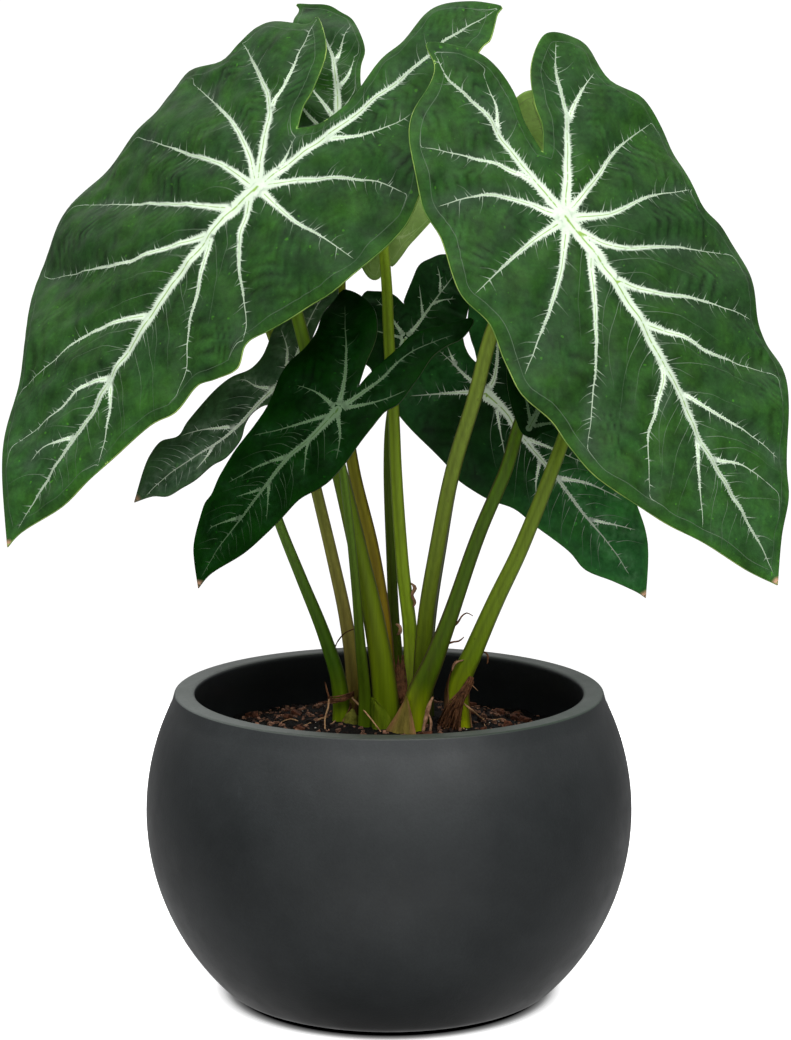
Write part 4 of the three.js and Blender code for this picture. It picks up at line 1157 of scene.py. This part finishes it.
def make_soil():
    body = POT_RADIUS - POT_WALL - 1.0
    wall = math.sqrt(body ** 2 - (SOIL_EDGE_Z - POT_CENTRE_Z) ** 2)
    face = turned([(wall * k / SOIL_RINGS, 0) for k in range(1, SOIL_RINGS + 1)], SOIL_SPOKES)
    lower = bowl_arc(body, POT_FLOOR + 6, SOIL_EDGE_Z - 6, 8)[::-1]
    lower.append((lower[-1][0] - 5, SOIL_BASE_Z))
    verts = [(x, y, soil_height(x, y)) for x, y, _ in face] + turned(lower, SOIL_SPOKES)
    verts += [(0, 0, soil_height(0, 0)), (0, 0, SOIL_BASE_Z)]
    soil = grainy("soil", 0.95, 0.15, (300, 6, 0.7), (0.35, (5, 4, 3), 0.6, (16, 11, 8), 0.8, (58, 42, 31)),
                  (1.0, 0.003), (500, 6, 0.75))
    piece = make_piece("potting_mix", verts, ring_faces(SOIL_RINGS + len(lower), SOIL_SPOKES, True), [soil])
    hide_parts("soil")


def lump(centre, size, rng):
    """An irregular chunk: a twisted box with cut corners."""
    corners = [[sign * reach * rng.uniform(0.55, 1) for sign, reach in zip((x, y, z), size)]
               for x in (-1, 1) for y in (-1, 1) for z in (-1, 1)]
    turn, tilt = rng.uniform(0, math.pi), rng.uniform(-0.6, 0.6)
    ct, st, cl, sl = math.cos(turn), math.sin(turn), math.cos(tilt), math.sin(tilt)
    placed = []
    for x, y, z in corners:
        x, z = x * cl - z * sl, x * sl + z * cl
        placed.append((centre[0] + x * ct - y * st, centre[1] + x * st + y * ct, centre[2] + z))
    return placed, [(0, 1, 3, 2), (4, 6, 7, 5), (0, 4, 5, 1), (2, 3, 7, 6), (0, 2, 6, 4), (1, 5, 7, 3)]


def lumps_on_soil(count, sizes, reach, rng):
    """Chunks strewn on the soil, clear of the stalks."""
    while count:
        r, a = reach * math.sqrt(rng.random()), rng.uniform(0, 2 * math.pi)
        x, y = r * math.cos(a), r * math.sin(a)
        size = rng.uniform(*sizes)
        if all(math.hypot(x - leaf["root"][0], y - leaf["root"][1]) >= leaf["radius"][0] + size + 1
               for leaf in LEAVES):
            shape = (size, size * rng.uniform(0.45, 0.9), size * rng.uniform(0.35, 0.8))
            yield lump((x, y, soil_height(x, y) + 0.25 * shape[2]), shape, rng)
            count -= 1


def scatter(name, count, sizes, reach, seed, material, dark, pale):
    verts, faces = joined(lumps_on_soil(count, sizes, reach, random.Random(seed)))
    brightest = tuple(min(c * 1.5, 230) for c in pale)
    bark = grainy(material, 0.9, 0.2, (350, 5, 0.65), (0.34, dark, 0.62, pale, 0.78, brightest), (0.8, 0.0015))
    piece = make_piece(name, verts, faces, [bark], smooth=False)
    bevel = piece.modifiers.new("rounded", "BEVEL")
    bevel.width = 0.25 * sizes[0] * MM
    bevel.segments = 2


# ---- roots, husks and fibres ----
def on_soil(px, py):
    """Where a pixel's sight line meets the soil."""
    for y in np.arange(-100, 100, 0.5):
        place = at_depth(px, py, y)
        if place[2] <= soil_height(place[0], place[1]) + 0.5:
            break
    return place


def strand(points, thick, sides):
    """A closed round strand; points are (pixel, pixel, depth), or without the depth where it lies on soil."""
    points = [at_depth(*p) if len(p) == 3 else on_soil(*p) for p in points]
    line, _ = evenly(spline(points, 8), 1.2)
    ahead = units(np.gradient(line, axis=0))
    side = units(np.cross(ahead, np.array([0.31, 0.85, 0.42])))
    front = np.cross(ahead, side)
    radius = np.interp(np.linspace(0, 1, len(line)), np.linspace(0, 1, len(thick)), thick)
    radius *= 1 + 0.25 * np.array([mnoise.noise(p * 0.5) for p in line])
    verts = [line[k] + radius[k] * (math.cos(a) * side[k] + math.sin(a) * front[k])
             for k in range(len(line)) for a in turns(sides)] + [line[0], line[-1]]
    return verts, ring_faces(len(line), sides)


def make_strands(name, strands, material, dark, pale, sides=6):
    verts, faces = joined(strand(points, thick, sides) for points, thick in strands)
    fibre = grainy(material, 0.8, 0.15, (400, 4, 0.7), (0.3, dark, 0.7, pale), (0.6, 0.001))
    piece = make_piece(name, verts, faces, [fibre])


# Strands as points and radii along them
ROOTS = [
    ([(329, 699, -7), (328, 708, -8), (325, 718, -10), (325, 729)], (0.5, 0.35)),
    ([(352, 698, -5), (361, 707, -12), (371, 719, -20), (381, 732, -27)], (0.55, 0.45, 0.3)),
    ([(463, 703, -16), (473, 711, -18), (483, 719), (494, 720), (503, 719), (509, 724)], (0.5, 0.5, 0.3)),
    ([(483, 719), (485, 726)], (0.35, 0.2)),
    ([(459, 714, -15), (462, 721), (464, 729)], (0.5, 0.3)),
    ([(301, 727), (313, 722), (320, 719), (328, 717)], (0.3, 0.55, 0.4)),
    ([(331, 725), (336, 720), (341, 717)], (0.3, 0.4)),
    ([(470, 683, -15), (474, 687, -15), (478, 691, -14)], (0.3, 0.15)),
    ([(444, 729), (452, 726), (461, 728)], (0.3, 0.4, 0.2)),
    ([(281, 722), (290, 719), (298, 721)], (0.2, 0.4, 0.3)),
]
HUSKS = [
    ([(433, 697, -27), (429, 706, -29), (426, 718, -30), (423, 732, -31)], (0.5, 1.3, 1.1, 0.8)),
    ([(428, 712, -30), (431, 722, -30), (430, 733, -31)], (0.3, 0.8, 0.6)),
    ([(396, 624, -6), (400, 627, -7), (400, 632, -7), (397, 635, -6)], (0.5, 1.2, 1.1, 0.4)),
    ([(411, 583, -5), (415, 588, -6), (412, 595, -6), (415, 602, -5), (413, 607, -5)],
     (0.4, 1.2, 0.9, 1.0, 0.4)),
    ([(452, 671, -17), (455, 663, -17), (464, 660, -15)], (0.4, 0.8, 0.3)),
]
THREADS = [
    ([(354, 629, 10), (345, 633, 10), (338, 641, 7), (334, 650, 0)], (0.35, 0.4, 0.3)),
    ([(444, 645, -23), (453, 642, -25), (459, 641, -25), (464, 637, -25)], (0.5, 0.6, 0.5, 0.25)),
    ([(450, 630, -23), (458, 622, -25), (462, 616, -25), (467, 613, -25), (473, 616, -25)],
     (0.5, 0.6, 0.5, 0.4, 0.2)),
    ([(482, 651, -12), (487, 654, -13), (488, 659, -13), (487, 664, -13)], (0.4, 0.6, 0.4)),
    ([(325, 682, -2), (327, 690, -4), (329, 698, -5)], (0.3, 0.6, 0.4)),
]
CORM = [([(351, 730, -5), (351, 722, -6), (352, 714, -5), (353, 709, -4)], (1.5, 4.0, 3.6, 0.8))]


def fibrous_clumps():
    """The torn brown fibres at two stalks' feet, and the collar round a third."""
    rng = random.Random("fibres")
    strands = list(THREADS)
    for _ in range(46):
        x, y = rng.uniform(-2, 3), rng.uniform(-3, 4)
        end = rng.uniform(436, 462)
        bow = rng.uniform(-3, 3)
        strands.append(([(471 + x, 679 + y, -14.5), (463 + bow + 0.4 * x, 693 + y, -16.5 - rng.uniform(0, 2)),
                         (0.5 * (461 + end) + bow, 707 + y, -17 - rng.uniform(0, 3)),
                         (end, rng.uniform(722, 731))], (0.3, rng.uniform(0.3, 0.7), 0.35)))
    for _ in range(26):
        top, low = rng.uniform(392, 405), rng.uniform(398, 408)
        strands.append(([(top, rng.uniform(655, 674), -1), (0.5 * (top + low) + rng.uniform(-2, 2), 684, -6),
                         (low, rng.uniform(697, 706), -11)], (0.3, rng.uniform(0.5, 0.9), 0.5)))
    for _ in range(12):
        drop = rng.uniform(-1.5, 2.5)
        strands.append(([(328, 699 + drop, -4), (335, 699 + drop + rng.uniform(-1, 2), -7),
                         (344, 697 + drop + rng.uniform(-1, 2), -7), (354, 693 + drop, -3)],
                        (0.3, rng.uniform(0.4, 0.7), 0.3)))
    return strands


def make_husk_wedge():
    """The dry leaf base that spreads in front of two stalks where they part."""
    rows, columns, thickness = 18, 14, 0.6
    outer, lateral = [], []
    for t in np.linspace(0, 1, rows):
        left = at_depth(405.5 - 27 * t ** 1.15, 696 + 44 * t, -23 + 2 * t)
        right = at_depth(406.5 + 11 * t ** 0.8, 696 + 44 * t, -25.5 - 4 * t)
        for share in np.linspace(0, 1, columns):
            ragged = 0.5 * mnoise.noise((share * 6, t * 4, 2.0))
            bulge = 1.2 + 2.6 * math.sin(math.pi * share) * min(1, 0.2 + t)
            outer.append(left + (right - left) * share - np.array([0, bulge + ragged, 0]))
            lateral.append(share)
    inner = [place + np.array([0, thickness, 0]) for place in outer]
    nodes = shader_nodes("husk_olive", 0.6, 0.12)
    fibre = nodes.noise(300, 4, 0.7, 0.15)
    olive = nodes.ramp(fibre, 0.3, (74, 66, 22), 0.7, (126, 112, 48))
    brown = nodes.ramp(fibre, 0.3, (84, 58, 32), 0.7, (142, 106, 66))
    edges = nodes.ramp(nodes.value("lateral"), 0.05, 1, 0.3, 0, 0.75, 0, 0.95, 1)
    husk = nodes.finish(nodes.mix(edges, olive, brown), fibre, 0.4, 0.001)
    piece = make_piece("husk_wedge", outer + inner, slab_faces(grid_faces(rows, columns), len(outer)), [husk])
    set_values(piece, 2, lateral=lateral)


# ---- camera, light and floor ----
SENSOR = 36.0
FLOOR_RADIUS = 0.7
# The painted contact shadow, a thin dark line round the pot's foot: its middle in metres, and how light the
# floor is at some distances from there in millimetres
CONTACT_CENTRE = (0, -0.006, 0)
CONTACT_SHADOW = (82.5, 0.0, 84.5, 0.07, 87.0, 0.3, 92.0, 1.0)
# How bright the studio is at some rises, from straight down (-1) to overhead (1), and how much brighter
# it is before the plant than behind it: for light on surfaces, and for what they mirror
SOFT_LIGHT = (-1.0, 0.9, -0.2, 0.8, -0.05, 0.42, 0.0, 0.3, 0.3, 0.32, 0.5, 0.4, 0.72, 1.3, 1.0, 1.7)
SOFT_DEPTH = (-1.0, 1.8, 0.0, 1.1, 1.0, 0.5)
MIRRORED = (-1.0, 0.22, -0.86, 0.6, -0.4, 0.58, -0.14, 0.26, 0.0, 0.21, 0.12, 0.27, 0.3, 0.7, 0.55, 1.05,
            1.0, 1.6)
MIRRORED_DEPTH = (-1.0, 2.6, -0.82, 2.2, -0.55, 0.65, -0.2, 0.48, 0.0, 0.5, 0.6, 0.8, 1.0, 0.95)
BACKDROP = 1.1


def make_camera():
    data = bpy.data.cameras.new("camera")
    data.sensor_width = SENSOR
    data.lens = VIEW_FOCAL / PHOTO_HIGH * SENSOR
    data.shift_x = (PHOTO_WIDE / 2 - VIEW_MIDDLE[0]) / PHOTO_HIGH
    data.clip_start = 0.05
    data.clip_end = 50
    camera = new_object("camera", data)
    camera.location = EYE * MM
    camera.rotation_euler = (math.pi / 2 - VIEW_ELEVATION, 0, 0)
    bpy.context.scene.camera = camera


def make_light(name, place, target, wide, high, power):
    data = bpy.data.lights.new(name, "AREA")
    data.shape = "RECTANGLE"
    data.size, data.size_y = wide, high
    data.energy = power
    lamp = new_object(name, data)
    lamp.location = place
    lamp.rotation_euler = (Vector(target) - Vector(place)).to_track_quat("-Z", "Y").to_euler()


def make_floor(name, z, level, glow, seen):
    """A pale disc, which either only the camera sees or only lights the plant."""
    mesh = bpy.data.meshes.new(name)
    mesh.from_pydata([(FLOOR_RADIUS * math.cos(a), FLOOR_RADIUS * math.sin(a), z) for a in turns(96)], [],
                     [tuple(range(96))])
    nodes = shader_nodes(name, 0.9, 0.0)
    away = nodes.add("VectorMath", "Value", nodes.place(), CONTACT_CENTRE, operation="DISTANCE")
    # Painted contact shadow: both floors' colour and the camera floor's glow darken in a ring round the pot's
    # foot
    for socket, most in (("Base Color", level), ("Emission Color", glow)):
        stops = [part for reach, share in grouped(CONTACT_SHADOW) for part in (reach * MM, most * share)]
        nodes.put(nodes.shader.inputs[socket], nodes.ramp(away, *stops))
    nodes.put(nodes.shader.inputs["Emission Strength"], 1.0)
    mesh.materials.append(nodes.owner)
    floor = new_object(name, mesh)
    floor.visible_camera = seen
    floor.visible_diffuse = floor.visible_shadow = not seen
    floor.visible_glossy = False


def make_world():
    """Paper white behind the plant, and softer light on it from a dome that is brightest overhead."""
    world = bpy.context.scene.world = bpy.data.worlds.new("studio")
    nodes = Nodes(world)

    def level(axis, stops):
        part = nodes.add("SeparateXYZ", axis, nodes.add("TexCoord", "Generated"))
        share = nodes.add("MapRange", "Result", Value=part, From_Min=-1.0)
        return nodes.ramp(share, *(0.5 + 0.5 * part if k % 2 == 0 else part for k, part in enumerate(stops)))

    def dome(by_rise, by_depth):
        return nodes.add("Background", "Background", level("Z", by_rise), level("Y", by_depth))

    def choose(ray, otherwise, then):
        return nodes.add("MixShader", 0, nodes.add("LightPath", ray), otherwise, then)

    paper = nodes.add("Background", "Background", light(1), BACKDROP)
    soft = choose("Is Glossy Ray", dome(SOFT_LIGHT, SOFT_DEPTH), dome(MIRRORED, MIRRORED_DEPTH))
    nodes.put(nodes.tree.nodes["World Output"].inputs["Surface"], choose("Is Camera Ray", soft, paper))


make_camera()
make_world()
make_floor("floor", 0.0, 0.95, 0.8, True)
make_floor("floor_bounce", -0.0004, 0.42, 0.0, False)
bpy.context.scene.view_settings.view_transform = "Standard"
make_light("front_box", (0.05, -1.25, 2.1), (0, 0, 0.2), 1.5, 0.4, 14)
make_light("left_box", (-1.3, -1.5, 1.6), (0, 0, 0.3), 1.0, 1.0, 2.5)
make_light("right_box", (1.3, -1.5, 1.5), (0, 0, 0.3), 1.0, 1.0, 8.5)

blades = {}
for one_leaf in LEAVES:
    blades[one_leaf["name"]] = make_blade(one_leaf)
    make_stalk(one_leaf, blades[one_leaf["name"]])
for one_sheath in SHEATHS:
    make_sheath(one_sheath, blades)
make_pot()
make_soil()
# name, count, sizes, reach, seed, material, dark, pale
scatter("bark_large", 70, (2.2, 4.6), 100, 3, "bark_brown", (18, 9, 5), (98, 58, 40))
scatter("bark_small", 900, (0.7, 2.0), 106, 4, "bark_red", (20, 10, 6), (136, 98, 78))
scatter("crumbs_dark", 900, (0.7, 2.0), 106, 5, "bark_dark", (6, 4, 3), (34, 22, 16))
scatter("pale_grains", 80, (0.35, 0.9), 100, 6, "perlite", (150, 140, 124), (216, 210, 200))
make_strands("roots", ROOTS, "root_tan", (116, 84, 58), (190, 152, 112))
make_strands("husks", HUSKS, "husk_tan", (88, 58, 36), (172, 134, 104))
make_strands("fibres", fibrous_clumps(), "fibre_brown", (36, 20, 12), (112, 74, 46))
make_strands("corm", CORM, "corm_green", (66, 68, 14), (112, 112, 40), 18)
make_husk_wedge()
